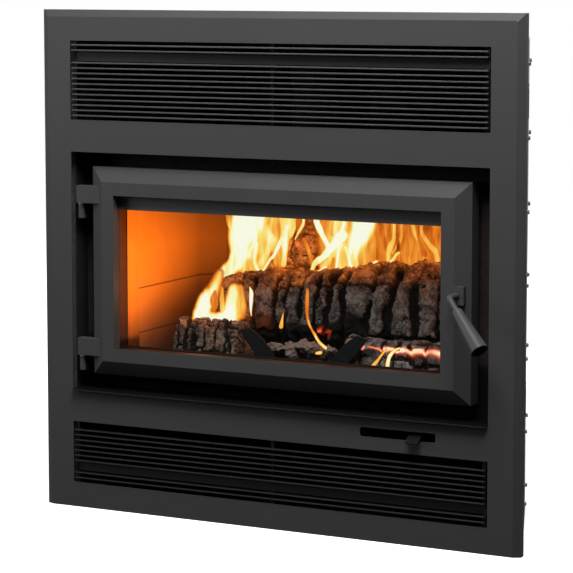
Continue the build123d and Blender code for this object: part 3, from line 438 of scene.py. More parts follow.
def satin_paint(name, settings, shade):
    """Thin powder paint: a fine even grain, slight clouding, and edges rubbed a little lighter, which also
    paints a highlight on them. Painted shade darkens its undersides and the upward ledges below the window.
    """
    finish = Finish(name)
    # shade gives a lighter or darker copy of the paint: painted shade below 1, painted light above 1
    base, clouded, worn_and_highlight = ([shade * part for part in colour]
                           for colour in (settings.colour, CLOUDED_PAINT, settings.worn_and_highlight))
    rounded = finish.socket("ShaderNodeBevel", 0, {"samples": 4}, {"Radius": settings.edge})
    plain = finish.socket("ShaderNodeNewGeometry", "Normal")
    turned = 1 - finish.vector_math("DOT_PRODUCT", rounded, plain, output="Value")
    grain, peel = finish.noise(1500.0, 1.0), finish.noise(420.0, 1.0)
    cloud = finish.noise(7.0, 4.0, 0.6)
    # edges rubbed lighter: partly wear, partly a painted highlight along the edges
    rub_and_highlight = turned.step(0.01, 0.35) * finish.noise(60.0, 3.0).step(0.35, 0.7)
    up, height = finish.parts(plain)[2], finish.xyz[2]
    # painted shade: undersides, and upward faces below the window's sill, are darkened towards black
    painted_shade = (up.step(-0.30, -0.60) * SHADE_ON_UNDERSIDES
             + up.step(0.5, 0.8) * height.step(*SILL[::-1]) * SHADE_ON_LEDGES)
    return finish.surface(
        Base_Color=finish.coats(base, (rub_and_highlight * 0.5, worn_and_highlight), ((cloud - 0.35) * 0.25, clouded),
                                (mitre_seams(finish), 0.004), (painted_shade, 0.002)),
        Normal=finish.bump(grain * 0.6 + peel, 0.00008, 0.35, rounded), Specular_IOR_Level=0.14,
        Roughness=settings.roughness + (cloud - 0.5) * 0.10 + (grain - 0.5) * 0.05)


class HEARTH_OT_paint(bpy.types.Operator):
    """Paints the face, the grilles, the door and their fittings satin black"""

    bl_idname = "hearth.paint"
    bl_label = "Painted steel"

    def execute(self, context):
        for name, shade, nodes in PAINTS:
            dress(satin_paint(name, context.scene.hearth_paint, shade), *nodes)
        return {"FINISHED"}


# ---- sheet steel of the jacket
JACKET_DEPTH, JACKET_HEIGHT = 0.2, 0.48  # its middle, behind the face and over the hearth
INNER_SHADE_UP_TO = (0.95, 0.945)  # heights between which the painted shade on its inner faces ends
CLEAR_SIDE, CLEAR_TOP = 0.6, 1.2  # x and z outside the object, from which the screws look for their sheet
COATED = ("jacket_left", "jacket_right", "jacket_back", "jacket_top", "base_pan", "flue_seal_plate")
# screws in a row, their distance from its ends, and the row's place behind the front or before the back edge
SIDE_SCREWS, SIDE_END, SIDE_ROWS = 7, 0.045, (0.210, -0.030)
TOP_SCREWS, TOP_END, TOP_ROW = 8, 0.06, 0.022
FLANGE_RING = 0.40  # share of the seal plate's width at which its four screws stand
HEAD_CONES = (  # sides, height from and to, radius below and above
    (32, -0.0010, 0.0009, 0.0056, 0.0052), (6, 0.0007, 0.0046, 0.0042, 0.0040))


def jacket_inner_shade(finish):
    """1 on the inner faces of the jacket, which painted shade turns black behind the grilles."""
    x, y, z = finish.xyz
    normal_x, normal_y, normal_z = finish.parts(finish.socket("ShaderNodeNewGeometry", "True Normal"))
    outward = x * normal_x + (y - FACE_Y - JACKET_DEPTH) * normal_y + (z - JACKET_HEIGHT) * normal_z
    return outward.step(0.002, -0.002) * z.step(*INNER_SHADE_UP_TO)


def coated_sheet():
    """Zinc-coated sheet: crystal spangles, rolling streaks, dull handling marks, and painted shade on its
    inner faces.
    """
    finish = Finish("zinc_coated_sheet")
    shade = finish.parts(finish.cells(150.0, output="Color"))[0]
    smudge = finish.noise(6.0, 5.0, 0.65)
    rolled = finish.noise((90.0, 90.0, 1.5), 3.0)
    # painted shade: the inner faces turn black, dull and not metallic
    inside = jacket_inner_shade(finish)
    colour = finish.coats((0.23, 0.235, 0.24), (shade, (0.31, 0.315, 0.32)),
                          (rolled.step(0.45, 0.75) * 0.35, 0.17),
                          (smudge.step(0.5, 0.8) * 0.5, 0.15), (inside, 0.008))
    return finish.surface(
        Base_Color=colour, Metallic=0.75 - inside * 0.75,
        Roughness=0.40 + shade * 0.10 + smudge * 0.14 + inside * 0.3,
        Normal=finish.bump(shade, 0.00006, 0.5))


def screw_rows():
    """Nodes, places near their sheets and the directions the screws stand out in."""
    for side, name in ((-1, "jacket_left"), (1, "jacket_right")):
        low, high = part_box(name)
        for z in np.linspace(low.z + SIDE_END, high.z - SIDE_END, SIDE_SCREWS):
            for y in (low.y + SIDE_ROWS[0], high.y + SIDE_ROWS[1]):
                yield name, (side * CLEAR_SIDE, y, z), (side, 0, 0)
    low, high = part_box("jacket_top")
    for x in np.linspace(low.x + TOP_END, high.x - TOP_END, TOP_SCREWS):
        yield "jacket_top", (x, low.y + TOP_ROW, CLEAR_TOP), (0, 0, 1)
    low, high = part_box("flue_seal_plate")
    for turn in range(4):
        arm = Vector((FLANGE_RING * (high.x - low.x), 0)) @ Matrix.Rotation(math.pi * (turn + 0.5) / 2, 2)
        x, y = ((low + high) / 2).xy + arm
        yield "flue_seal_plate", (x, y, CLEAR_TOP), (0, 0, 1)


def hex_screw(solid, place, out):
    """A washer-faced hexagon head, standing out along a direction."""
    turn = Vector((0, 0, 1)).rotation_difference(Vector(out)).to_matrix().to_4x4()
    for sides, low, high, wide, top in HEAD_CONES:
        middle = Matrix.Translation((0, 0, (low + high) / 2))
        bmesh.ops.create_cone(solid, cap_ends=True, segments=sides, radius1=wide, radius2=top,
                              depth=high - low, matrix=Matrix.Translation(place) @ turn @ middle)


class HEARTH_OT_jacket(bpy.types.Operator):
    """Finishes the zinc-coated jacket and floor pan, and adds the jacket's screws"""

    bl_idname = "hearth.jacket"
    bl_label = "Jacket sheets"

    def execute(self, context):
        dress(coated_sheet(), *COATED)
        heads = bmesh.new()
        for name, start, out in screw_rows():
            found, place, normal, _ = bpy.data.objects[name].ray_cast(start, -Vector(out))
            if not found:
                raise RuntimeError(f"no sheet of {name} under the screw at {tuple(start)}")
            hex_screw(heads, place, normal)
        mesh = bpy.data.meshes.new("jacket_screws")
        heads.to_mesh(mesh)
        heads.free()
        mesh.materials.append(bright_steel())
        screws = add_object("jacket_screws", mesh)
        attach(screws, "root")
        return {"FINISHED"}


# ---- firebox steel
FIREBOX_STEEL = ("firebox_shell", "firebox_floor", "firebox_roof", "firebox_stands", "flue_collar",
                 "flue_flange", "air_tubes", "air_slide_rails", "air_shutter", "latch_cam", "latch_keeper")
GLOW_FADE = (2.29, 7.17, 5.55)  # firelight at the face, its fall with depth and the easing of that
LOG_SHADE = (0.368, 0.21, 39.0)  # height below which logs block it, its rise with depth, sharpness
BAFFLE_SHADE = (0.513, 4.8)  # height above which it falls, and how fast
MOUTH_SIDES, MOUTH_BOTTOM, MOUTH_TOP = (0.3725, 0.3700), (0.300, 0.304), (0.655, 0.650)  # where its glow ends
MOUTH_FRONT = (0.0255, 0.0275)  # depths between which the glow begins
OPEN_TO_FIRE = (0.050, 0.064)  # depths between which it reaches its full strength
SHELTERED = 0.09  # share of it on what lies less deep


def fire_glow(finish, settings):
    """Light of the fire on what surrounds it: it fades with depth, and towards the hearth and the baffle."""
    _, y, z = finish.xyz
    depth = (y - FACE_Y).clamped()
    near = (GLOW_FADE[0] - depth * GLOW_FADE[1] + depth * depth * GLOW_FADE[2]).most(0.0)
    over_logs = 1 / (1 + ((z - LOG_SHADE[0] - depth * LOG_SHADE[1]) * -LOG_SHADE[2]).exponent())
    under_baffle = (1 - (z - BAFFLE_SHADE[0]).most(0.0) * BAFFLE_SHADE[1]).clamped()
    return near * over_logs * under_baffle * settings.glow


def heat_marked_steel():
    """Bare plate after many fires: dark scale, rust bloom and grey ash, all kept very dark as painted shade so
    it stays black behind the grilles.
    """
    finish = Finish("heat_marked_steel")
    scale = finish.noise(35.0, 6.0, 0.7)
    bloom = finish.noise(9.0, 5.0, 0.65).step(0.45, 0.75)
    # painted shade: colours far darker than bare steel, so the firebox stays black behind the grilles
    colour = finish.coats((0.007, 0.0065, 0.006), (bloom, (0.020, 0.013, 0.008)),
                          (scale.step(0.55, 0.8) * 0.5, (0.026, 0.025, 0.023)))
    return finish.surface(
        Base_Color=colour, Specular_IOR_Level=0.1, Roughness=0.6 + scale * 0.25,
        Normal=finish.bump(scale, 0.0006, 0.6))


def cast_iron():
    """Black cast iron: sand grain and a blue-grey burnt skin."""
    finish = Finish("cast_iron")
    burnt = finish.noise(30.0, 4.0)
    return finish.surface(
        Base_Color=finish.mix(burnt, (0.0025, 0.0035, 0.0045), (0.006, 0.008, 0.010)),
        Roughness=0.6 + burnt * 0.2, Specular_IOR_Level=0.15,
        Normal=finish.bump(finish.noise(700.0, 3.0), 0.0003, 0.6))


def mouth_glow(finish, settings):
    """Firelight on what frames the mouth: none in front of the glass or outside the mouth."""
    x, y, z = finish.xyz
    depth = y - FACE_Y
    framed = abs(x).step(*MOUTH_SIDES) * z.step(*MOUTH_BOTTOM) * z.step(*MOUTH_TOP)
    close = SHELTERED + depth.step(*OPEN_TO_FIRE) * (1 - SHELTERED)
    return fire_glow(finish, settings) * depth.step(*MOUTH_FRONT) * framed * close


def firelit_plate(settings):
    """Plates and flanges that frame the mouth, lit orange from inside and darkened at the bottom by painted
    shade.
    """
    finish = Finish("firelit_plate")
    scale = finish.noise(60.0, 5.0, 0.7)
    # painted shade at the bottom: a darker colour and less firelight below the window
    soot_and_shade = finish.xyz[2].step(0.350, 0.335)
    glow = mouth_glow(finish, settings) * (0.85 + scale * 0.3) * (1 - soot_and_shade * 0.7)
    return finish.surface(
        Base_Color=finish.mix(scale * (1 - soot_and_shade), 0.008, (0.05, 0.04, 0.035)), Roughness=0.75 + scale * 0.2,
        Specular_IOR_Level=0.0, Normal=finish.bump(scale, 0.0003, 0.5),
        **finish.shining(settings.glow_colour, glow))


class HEARTH_OT_firebox_steel(bpy.types.Operator):
    """Finishes the steel of the firebox and its stands, the andirons, the air parts and the flue collar"""

    bl_idname = "hearth.firebox_steel"
    bl_label = "Firebox steel"

    def execute(self, context):
        dress(heat_marked_steel(), *FIREBOX_STEEL)
        dress(firelit_plate(context.scene.hearth_fire), "firebox_front", "door_liner", "brick_clips")
        dress(cast_iron(), "andirons")
        return {"FINISHED"}


# ---- bricks
BRICKS = ("left_bricks", "right_bricks", "back_bricks", "floor_bricks", "baffle_boards")
LOW_JOINT, HIGH_JOINT = 0.3486, 0.4390  # heights of the open joints between the courses of brick


def hot_firebrick(settings):
    """Pressed buff firebrick: open grain, small chips and pits, soot below, and the light of the fire."""
    finish = Finish("hot_firebrick")
    z = finish.xyz[2]
    grain = finish.noise(420.0, 4.0, 0.7)
    patch = finish.noise(14.0, 5.0, 0.6)
    pits = finish.cells(260.0).step(0.10, 0.28)
    soot_and_shade = z.step(0.40, 0.262) * finish.noise(22.0, 4.0).step(0.25, 0.7)
    colour = finish.coats((0.050, 0.032, 0.018), (patch, (0.085, 0.058, 0.034)),
                          ((1 - pits) * 0.5, (0.030, 0.022, 0.015)), (soot_and_shade * 0.8, (0.020, 0.017, 0.015)))
    joint = abs(z - LOW_JOINT).least(abs(z - HIGH_JOINT)).step(0.0022, 0.0008)
    glow = fire_glow(finish, settings) * (0.86 + patch * 0.2 + grain * 0.08) * (1 - joint * 0.72)
    return finish.surface(
        Base_Color=colour, Roughness=0.9, Specular_IOR_Level=0.2,
        Normal=finish.bump(grain * 0.5 + pits * 0.5, 0.0008, 0.5),
        **finish.shining(settings.glow_colour, glow))


class HEARTH_OT_bricks(bpy.types.Operator):
    """Finishes the firebrick lining and the baffle boards"""

    bl_idname = "hearth.bricks"
    bl_label = "Firebricks"

    def execute(self, context):
        dress(hot_firebrick(context.scene.hearth_fire), *BRICKS)
        return {"FINISHED"}


# ---- glass and seals
MIRROR_STRAIGHT, MIRROR_GRAZING = 0.022, 0.9  # share the glass mirrors straight on, and what grazing adds
TWILL = 2600.0  # how close the twill's ribs are


def clear_ceramic():
    """Clear heat-proof glass: it passes the fire's light and mirrors a little of the room."""
    finish = Finish("clear_ceramic_glass")
    gloss = finish.shader(Base_Color=0.01, Roughness=0.03, Specular_IOR_Level=0.5)
    clear = finish.node("ShaderNodeBsdfTransparent", None, {"Color": (0.97, 0.965, 0.955)}).outputs[0]
    away = finish.socket("ShaderNodeLayerWeight", "Facing", None, {"Blend": 0.5})
    mirror = MIRROR_STRAIGHT + away ** 5.0 * MIRROR_GRAZING + finish.noise(30.0, 3.0) * 0.02
    return finish.output(finish.node("ShaderNodeMixShader", None, {0: mirror, 1: clear, 2: gloss}).outputs[0])


def glass_fibre(name, settings=None):
    """Knitted glass-fibre rope or tape, grey-black with a fine twill and painted shade below the window's
    sill. The fire lights it where asked to.
    """
    finish = Finish(name)
    x, y, z = finish.xyz
    strands = ((x + z) * TWILL).sine() * ((x - z + y) * TWILL).sine()
    # the last coat is painted shade: darker below the window's sill
    colour = finish.coats((0.030, 0.029, 0.028), (strands * 0.5 + 0.5, (0.09, 0.088, 0.083)),
                          (z.step(*SILL[::-1]), 0.006))
    lit = {}
    if settings:
        glow = mouth_glow(finish, settings) * (0.2 + z.step(*SILL) * 0.8)
        lit = finish.shining(settings.glow_colour, glow)
    return finish.surface(
        Base_Color=colour, Roughness=0.92, Specular_IOR_Level=0.0,
        Normal=finish.bump(strands * 0.5 + finish.noise(900.0, 3.0) * 0.4, 0.0006, 0.8), **lit)


class HEARTH_OT_glazing(bpy.types.Operator):
    """Finishes the door's glass, its tape and the rope seal"""

    bl_idname = "hearth.glazing"
    bl_label = "Glass and seals"

    def execute(self, context):
        dress(clear_ceramic(), "door_glass")
        dress(glass_fibre("glass_fibre_tape", context.scene.hearth_fire), "glass_tape")
        dress(glass_fibre("glass_fibre_rope"), "door_rope_seal")
        return {"FINISHED"}


# ---- fasteners
FASTENERS = ("bracket_screws", "door_liner_screws", "hinge_pins", "hinge_washers", "grip_screw")


def bright_steel():
    """Bright turned steel, a little tarnished."""
    finish = Finish("screw_steel")
    turned = finish.noise(1200.0)
    tarnish = finish.noise(120.0, 4.0)
    return finish.surface(
        Base_Color=finish.mix(tarnish, 0.22, (0.42, 0.41, 0.39)), Metallic=0.9,
        Roughness=0.28 + turned * 0.2, Normal=finish.bump(turned, 0.00005, 0.5))


class HEARTH_OT_fasteners(bpy.types.Operator):
    """Finishes screws, pins and washers"""

    bl_idname = "hearth.fasteners"
    bl_label = "Fasteners"

    def execute(self, context):
        dress(bright_steel(), *FASTENERS)
        return {"FINISHED"}


# ---- logs
class LogShape(NamedTuple):
    """How one charred log is broken up."""

    node: str
    columns: object  # cracks across the grain, (x, half-width, lean), or their mean spacing
    rows: object  # cracks along the grain, (angle, half-width), or their mean spacing
    cleft: float  # half-width of the widest crack where they are spread at random
    seed: int
    step: float = 0.0026  # size of the skin's squares
    relief: float = 0.008
    faces: tuple = ()  # split faces: (angle, share of the radius)
    taper: float = 0.0  # how much thicker per metre towards the right
    skew: float = 0.0  # how much deeper the right end lies
    shift: tuple = (0.0, 0.0, 0.0)
    scale: tuple = (1.0, 1.0, 1.0)  # length, depth and height
    tone: float = 0.0  # 0 grey ash, 1 brown char
    embers: tuple = ()  # glowing places: x, angle, half-length, half-width, heat
    lit: tuple = ((-9, 0.0), (9, 0.0))  # firelight at angles round the log; it also browns the char as painted firelight
    left_lit: float = 0.0  # more of it towards the left end
    shadow_under: float = -9.0  # left of this place the lower half gets a black painted shadow


BACK_LOG_CRACKS = (
    (-0.182, 0.0022, -0.1), (-0.158, 0.0016, -0.25), (-0.130, 0.0032, -0.2), (-0.082, 0.0028, 0.0),
    (-0.060, 0.0030, 0.0), (-0.027, 0.0048, 0.1), (0.010, 0.0034, 0.0), (0.036, 0.0046, 0.1),
    (0.070, 0.0042, 0.0), (0.124, 0.0060, 0.2), (0.170, 0.0080, 0.3), (0.226, 0.0055, 0.1),
    (0.278, 0.0030, 0.1))
LOGS = (
    LogShape("back_log", BACK_LOG_CRACKS,
             ((2.40, 0.0026), (3.62, 0.0030), (4.9, 0.003), (0.6, 0.003), (1.5, 0.0016)), 0.0, 3,
             step=0.0024, relief=0.012, faces=((3.05, 0.90), (1.60, 0.93), (0.1, 0.95), (4.6, 0.93)),
             taper=0.64, skew=0.020, shift=(0.0, 0.0, 0.0056), scale=(1.0, 1.0, 1.20),
             embers=((0.020, 3.50, 0.006, 0.0040, 0.60), (0.035, 3.60, 0.005, 0.0045, 0.52)),
             lit=((1.0, 1.0), (2.36, 0.9), (2.46, 0.10), (3.2, 0.0), (6.3, 0.0)), left_lit=0.5,
             shadow_under=0.10),
    LogShape("rear_log", 0.060, 0.050, 0.0018, 11, step=0.0028, relief=0.005, tone=1.0,
             lit=((-0.1, 2.3), (6.4, 2.3))),
    LogShape("front_left_log", 0.024, 0.030, 0.0034, 23, step=0.0020, relief=0.007, taper=-0.35,
             faces=((2.75, 0.92), (1.45, 0.94)), shift=(0.004, 0.004, 0.016), scale=(0.93, 1.05, 1.34),
             tone=0.70, lit=((0.8, 0.5), (1.9, 0.35), (2.5, 0.06), (6.3, 0.0))),
    LogShape("front_right_log", 0.034, 0.040, 0.0030, 31, step=0.0021, relief=0.006,
             faces=((2.95, 0.90), (1.4, 0.95)), shift=(0.0, 0.0, 0.010), scale=(1.0, 1.0, 1.22), tone=0.05,
             embers=((0.250, 2.34, 0.070, 0.0060, 1.45), (0.165, 2.38, 0.016, 0.0024, 0.9),
                     (0.136, 2.38, 0.006, 0.0024, 0.9)),
             lit=((1.2, 0.1), (2.1, 0.10), (2.4, 0.03), (6.3, 0.0))),
    LogShape("charred_chunk", 0.022, 0.026, 0.0026, 47, step=0.0019, relief=0.006, tone=0.3),
)
JAGGED = 0.0052  # how far cracks wander from their lines
LYING = 0.89  # share of the radius by which a tapered log sinks to stay on its underside
TONES = 4000  # shades of single plates


def log_profile(length, radius, step):
    """Distance along, distance from the axis and outward turn, from one end's middle to the other's."""
    corner = radius * 0.14
    face = [(0.0, rho, -1.0) for rho in np.arange(step / 2, radius - corner, step)]
    turn = [(corner * (1 - math.cos(a)), radius - corner * (1 - math.sin(a)), -math.cos(a))
            for a in np.linspace(0, math.pi / 2, 5)]
    side = [(s, radius, 0.0) for s in np.arange(corner + step, length - corner, step)]
    near = face + turn
    return np.array(near + side + [(length - s, rho, -out) for s, rho, out in reversed(near)])


def section(faces, angle):
    """Share of the radius at an angle round the log: round, with flat split faces."""
    share = np.ones_like(angle)
    for middle, distance in faces:
        toward = np.cos(angle - middle)
        share = np.minimum(share, np.where(toward > 0.3, distance / np.maximum(toward, 0.3), 2.0))
    return share


def cracks_across(shape, length, middle, rng):
    """Cracks across the grain as rows: place along the log from its middle, half-width, lean."""
    if isinstance(shape.columns, tuple):
        return np.array(shape.columns) - (middle, 0.0, 0.0)
    count = max(int(round(length / shape.columns)), 2)
    places = (np.arange(count) + 0.5 + rng.uniform(-0.3, 0.3, count)) * length / count - length / 2
    widths = rng.uniform(0.15, 1.0, count) * shape.cleft
    return np.stack((places, widths, rng.uniform(-0.5, 0.5, count)), axis=1)


def cracks_along(shape, radius, rng):
    """Cracks along the grain as rows: arc round the log, half-width."""
    if isinstance(shape.rows, tuple):
        return np.array(shape.rows) * (radius, 1.0)
    count = max(int(round(2 * math.pi * radius / shape.rows)), 3)
    places = (np.arange(count) + rng.uniform(-0.28, 0.28, count)) * 2 * math.pi * radius / count
    return np.stack((places, rng.uniform(0.1, 0.8, count) * shape.cleft), axis=1)


class CharredLog:
    """A dense skin round a log's axis, split into charred plates by open clefts."""

    def __init__(self, shape):
        low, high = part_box(shape.node)
        self.shape = shape
        self.middle = np.array((low + high) / 2)
        self.length, self.radius = high.x - low.x, (high.z - low.z) / 2
        self.rng = np.random.default_rng(shape.seed)
        self.rough = SoftNoise(shape.seed)
        profile = log_profile(self.length, self.radius, shape.step)
        self.rings, self.around = len(profile), int(2 * math.pi * self.radius / shape.step)
        self.angle = np.tile(np.linspace(0, 2 * math.pi, self.around, endpoint=False), self.rings)
        along, rho, turned = (np.repeat(column, self.around) for column in profile.T)
        self.along = along - self.length / 2
        self.x = self.along + self.middle[0]
        out = np.stack((np.zeros_like(self.angle), np.cos(self.angle), np.sin(self.angle)), axis=1)
        self.skin = out * (rho * section(shape.faces, self.angle))[:, None]
        self.skin[:, 0] = self.along
        self.facing = out * np.sqrt(1 - turned ** 2)[:, None]
        self.facing[:, 0] = turned

    def plates(self):
        """Distance of each point to the nearest crack, and the shade of its plate."""
        shape, rough, skin, rng = self.shape, self.rough, self.skin, self.rng
        columns = cracks_across(shape, self.length, self.middle[0], rng)
        wandering = (self.along + rough.layered(skin, 0.040, 5, 0.7) * JAGGED)[:, None]
        lines = columns[:, 0] + columns[:, 2] * (math.pi - self.angle)[:, None] * self.radius * 0.5
        widths = columns[:, 1] * (0.9 + 1.3 * rough(skin + 3.1, 0.028))[:, None]
        across = (np.abs(wandering - lines) - widths).min(axis=1)
        column = (wandering > lines).sum(axis=1)
        rows = cracks_along(shape, self.radius, rng)
        slip = rng.uniform(-1, 1, 64)[column] * (0.005 if isinstance(shape.rows, tuple) else 0.012)
        arc = self.angle * self.radius + slip + rough.layered(skin + 9.7, 0.035, 5, 0.7) * JAGGED
        girth = 2 * math.pi * self.radius
        beside = (arc[:, None] - rows[:, 0] + girth / 2) % girth - girth / 2
        widths = rows[:, 1] * (0.6 + 1.1 * rough(skin + 5.5, 0.03))[:, None]
        lengthwise = (np.abs(beside) - widths).min(axis=1)
        row = (beside > 0).sum(axis=1)
        return np.minimum(across, lengthwise), rng.uniform(0, 1, TONES)[(column * 37 + row * 11) % TONES]

    def ember_glow(self):
        """Heat of the glowing places: ragged lines that widen to the right."""
        glow = np.zeros(len(self.skin))
        for x, place, half_length, half_width, heat in self.shape.embers:
            off = (self.angle - place) * self.radius + self.rough(self.skin + 8.8, 0.02) * half_width * 0.8
            share = (self.x - x) / half_length
            spot = np.exp(-(off / (half_width * (1 + 0.45 * share))) ** 2)
            spot *= ramp_up(1.25, 0.80, np.abs(share)) * (0.85 + 0.4 * self.rough(self.skin + 6.6, 0.012))
            glow = np.maximum(glow, spot * heat)
        return glow

    def carved(self, height):
        """The skin's points moved in or out, then stretched, tapered and set in their place."""
        shape = self.shape
        points = (self.skin + self.facing * height[:, None]) * shape.scale
        points[:, 1:] *= (1 + shape.taper * points[:, 0])[:, None]
        points[:, 2] += LYING * self.radius * shape.scale[2] * shape.taper * points[:, 0]
        points[:, 1] += points[:, 0] / self.length * shape.skew
        return points + (self.middle + shape.shift)

    def squares(self):
        """Faces of the skin, with one at each end."""
        rings, around = self.rings, self.around
        ring, place = np.arange(rings - 1)[:, None] * around, np.arange(around)
        start, following = ring + place, ring + (place + 1) % around
        faces = np.stack((start, following, following + around, start + around), axis=2).reshape(-1, 4)
        return faces.tolist() + [place[::-1].tolist(), ((rings - 1) * around + place).tolist()]

    def mesh(self):
        """The log's mesh, carved by its cracks, checks and plates."""
        shape, rough, skin = self.shape, self.rough, self.skin
        to_cleft, tone = self.plates()
        cleft = ramp_up(0.0022, -0.0004, to_cleft)
        checks = np.abs(rough.layered(skin * (0.7, 1.0, 1.0) + 1.7, 0.014, 3, 0.6))
        check = ramp_up(0.12, 0.03, checks) * ramp_up(-0.4, 0.3, rough(skin + 2.2, 0.03))
        dome = ramp_up(-0.001, 0.009, to_cleft)
        height = rough.layered(skin, 0.10, 2) * self.radius * 0.06 - self.radius * 0.04
        height += shape.relief * (0.16 * (dome - 1) - 0.9 * cleft - 0.22 * check + 0.34 * (tone - 0.5))
        height += rough.layered(skin + 4.4, 0.022, 5, 0.72) * shape.relief * 0.26
        # painted shadow: the lower half left of its given place goes black, through the crack attribute
        black = (ramp_up(3.05, 3.35, self.angle + 0.25 * rough(skin + 1.9, 0.03))
                 * ramp_up(0.05, -0.02, self.x - shape.shadow_under))
        firelight = np.interp(self.angle, *zip(*shape.lit))
        lit = firelight * (0.8 + 0.4 * rough(skin + 7.1, 0.03))
        lit += shape.left_lit * ramp_up(-0.02, -0.16, self.x) * ramp_up(3.7, 3.2, self.angle)
        return smooth_mesh(
            f"charred_{shape.node}", self.carved(height), self.squares(), tone=tone, ember=self.ember_glow(),
            # the crack attribute also carries the painted shadow
            crack=np.maximum(np.maximum(cleft, black * 0.9), check * 0.7),
            # painted firelight: the char turns browner where the fire lights the log
            brown=np.clip(shape.tone + firelight, 0, 1),
            lit=lit * (1 - cleft * 0.96) * (1 - check * 0.6) * (0.55 + 0.9 * tone) / 2.5)


EMBER_COLOURS = [(0.0, (0.0, 0.0, 0.0)), (0.22, (0.25, 0.018, 0.003)), (0.45, (0.85, 0.13, 0.03)),
                 (0.70, (1.0, 0.42, 0.20)), (1.0, (1.0, 0.84, 0.58))]
FIRELIT_COLOURS = [(0.0, (0.0, 0.0, 0.0)), (0.2, (0.17, 0.036, 0.004)), (0.45, (0.46, 0.110, 0.014)),
                   (0.9, (0.95, 0.37, 0.065)), (1.0, (1.0, 0.50, 0.10))]


def charred_wood():
    """Cracked char: black clefts, grey ash on the plates, browned char on some logs and browner still where
    the fire lights it, as painted firelight, red-hot seams, and a painted shadow on the back log.
    """
    finish = Finish("charred_wood")
    crack, tone, brown, lit, ember = map(finish.attribute, ("crack", "tone", "brown", "lit", "ember"))
    ash = finish.noise(38.0, 9.0, 0.78)
    crumb = finish.noise(240.0, 4.0, 0.8)
    fibre = finish.noise((60.0, 420.0, 420.0), 4.0)
    hairline = abs(finish.noise(52.0, 5.0, 0.62) - 0.5).step(0.022, 0.006)
    ashy = ash.step(0.38, 0.66)
    grey = finish.mix(ashy, (0.028, 0.028, 0.029), (0.200, 0.200, 0.190))
    char = finish.mix(ashy, (0.030, 0.021, 0.015), (0.220, 0.148, 0.100))
    colour = finish.coats(
        # browned char, and browner still as painted firelight where the fire lights it
        grey, ((brown + (tone - 0.5) * 0.7).clamped(), char),
        (fibre.step(0.5, 0.75) * 0.40, (0.014, 0.012, 0.011)),
        (crumb.step(0.56, 0.72) * 0.55, (0.012, 0.010, 0.009)),
        (crumb.step(0.42, 0.30) * 0.35, (0.26, 0.22, 0.18)), (hairline * 0.85, (0.006, 0.005, 0.005)),
        # black in the clefts, and where the crack attribute carries the painted shadow
        (crack.step(0.10, 0.55), (0.0035, 0.003, 0.0026)))
    hot = finish.ramp(ember * (0.7 + ash * 0.6), EMBER_COLOURS)
    caught = lit * (0.12 + ash.step(0.40, 0.62)) * (1 - crumb.step(0.52, 0.68) * 0.85)
    warm = finish.ramp(caught, FIRELIT_COLOURS)
    return finish.surface(
        Base_Color=colour, Roughness=0.9, Specular_IOR_Level=0.2,
        Emission_Color=finish.vector_math("ADD", hot, warm), Emission_Strength=1.0,
        Normal=finish.bump(ash * 0.6 + crumb * 0.3 + fibre * 0.3 - hairline * 0.5, 0.0016, 0.9))


class HEARTH_OT_logs(bpy.types.Operator):
    """Builds the charred logs"""

    bl_idname = "hearth.logs"
    bl_label = "Charred logs"

    def execute(self, context):
        wood = charred_wood()
        for shape in LOGS:
            piece = add_object(f"charred_{shape.node}", CharredLog(shape).mesh())
            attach(piece, "root")
            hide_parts(shape.node)
            piece.data.materials.append(wood)
        return {"FINISHED"}


# ---- embers
BED = (-0.285, 0.285, 0.112, 0.372)  # ash bed: x from and to, depth behind the face from and to
BED_STEP = 0.004
BED_HEIGHT, BED_WAVES = 0.008, 0.004
BED_RIM = (-0.002, 0.03)  # distances from its edge inwards between which it rises to its height
MOUND = (0.010, 0.150, 0.120, 0.060, 0.064)  # heap of coals: x, depth, spreads of both, height
SEEN_COALS = (  # lumps on top of the heap: x, depth, height, radius
    (-0.049, 0.118, 0.333, 0.021), (-0.020, 0.126, 0.332, 0.017), (0.008, 0.118, 0.344, 0.018),
    (0.031, 0.120, 0.339, 0.017), (0.056, 0.128, 0.332, 0.015), (0.072, 0.116, 0.336, 0.016),
    (-0.078, 0.126, 0.331, 0.018), (-0.010, 0.118, 0.326, 0.016))
COALS = 84  # all lumps together
COAL_RADII = (0.007, 0.014)  # least and greatest of the strewn ones
STREWN = (0.085, 0.050)  # how far they are strewn in x and in depth
STREWN_BACK = 0.30  # depth up to which they lie
SIDE_MARGIN, FRONT_MARGIN = 0.020, 0.008  # how far they stay inside the bed
SEATED = 0.45  # height of their middle over the ash, as a share of their radius
OVERLAP = 0.72  # least distance of two lumps, as a share of both radii
SPLIT_FACES = 7  # flat faces of one lump
LEAST_CRACK = 0.27  # keeps the lumps darker than the logs


def bed_height(x, depth, rough):
    """How high the ash and the coals lie above the bricks of the floor."""
    spot = np.stack((x, depth, np.zeros_like(x)), axis=1)
    heap_x, heap_depth, wide, deep, high = MOUND
    heap = high * np.exp(-((x - heap_x) / wide) ** 2 - ((depth - heap_depth) / deep) ** 2)
    edge = np.minimum.reduce((x - BED[0], BED[1] - x, depth - BED[2], BED[3] - depth))
    return (BED_HEIGHT + rough.layered(spot, 0.05, 4) * BED_WAVES) * ramp_up(*BED_RIM, edge) - MM + heap


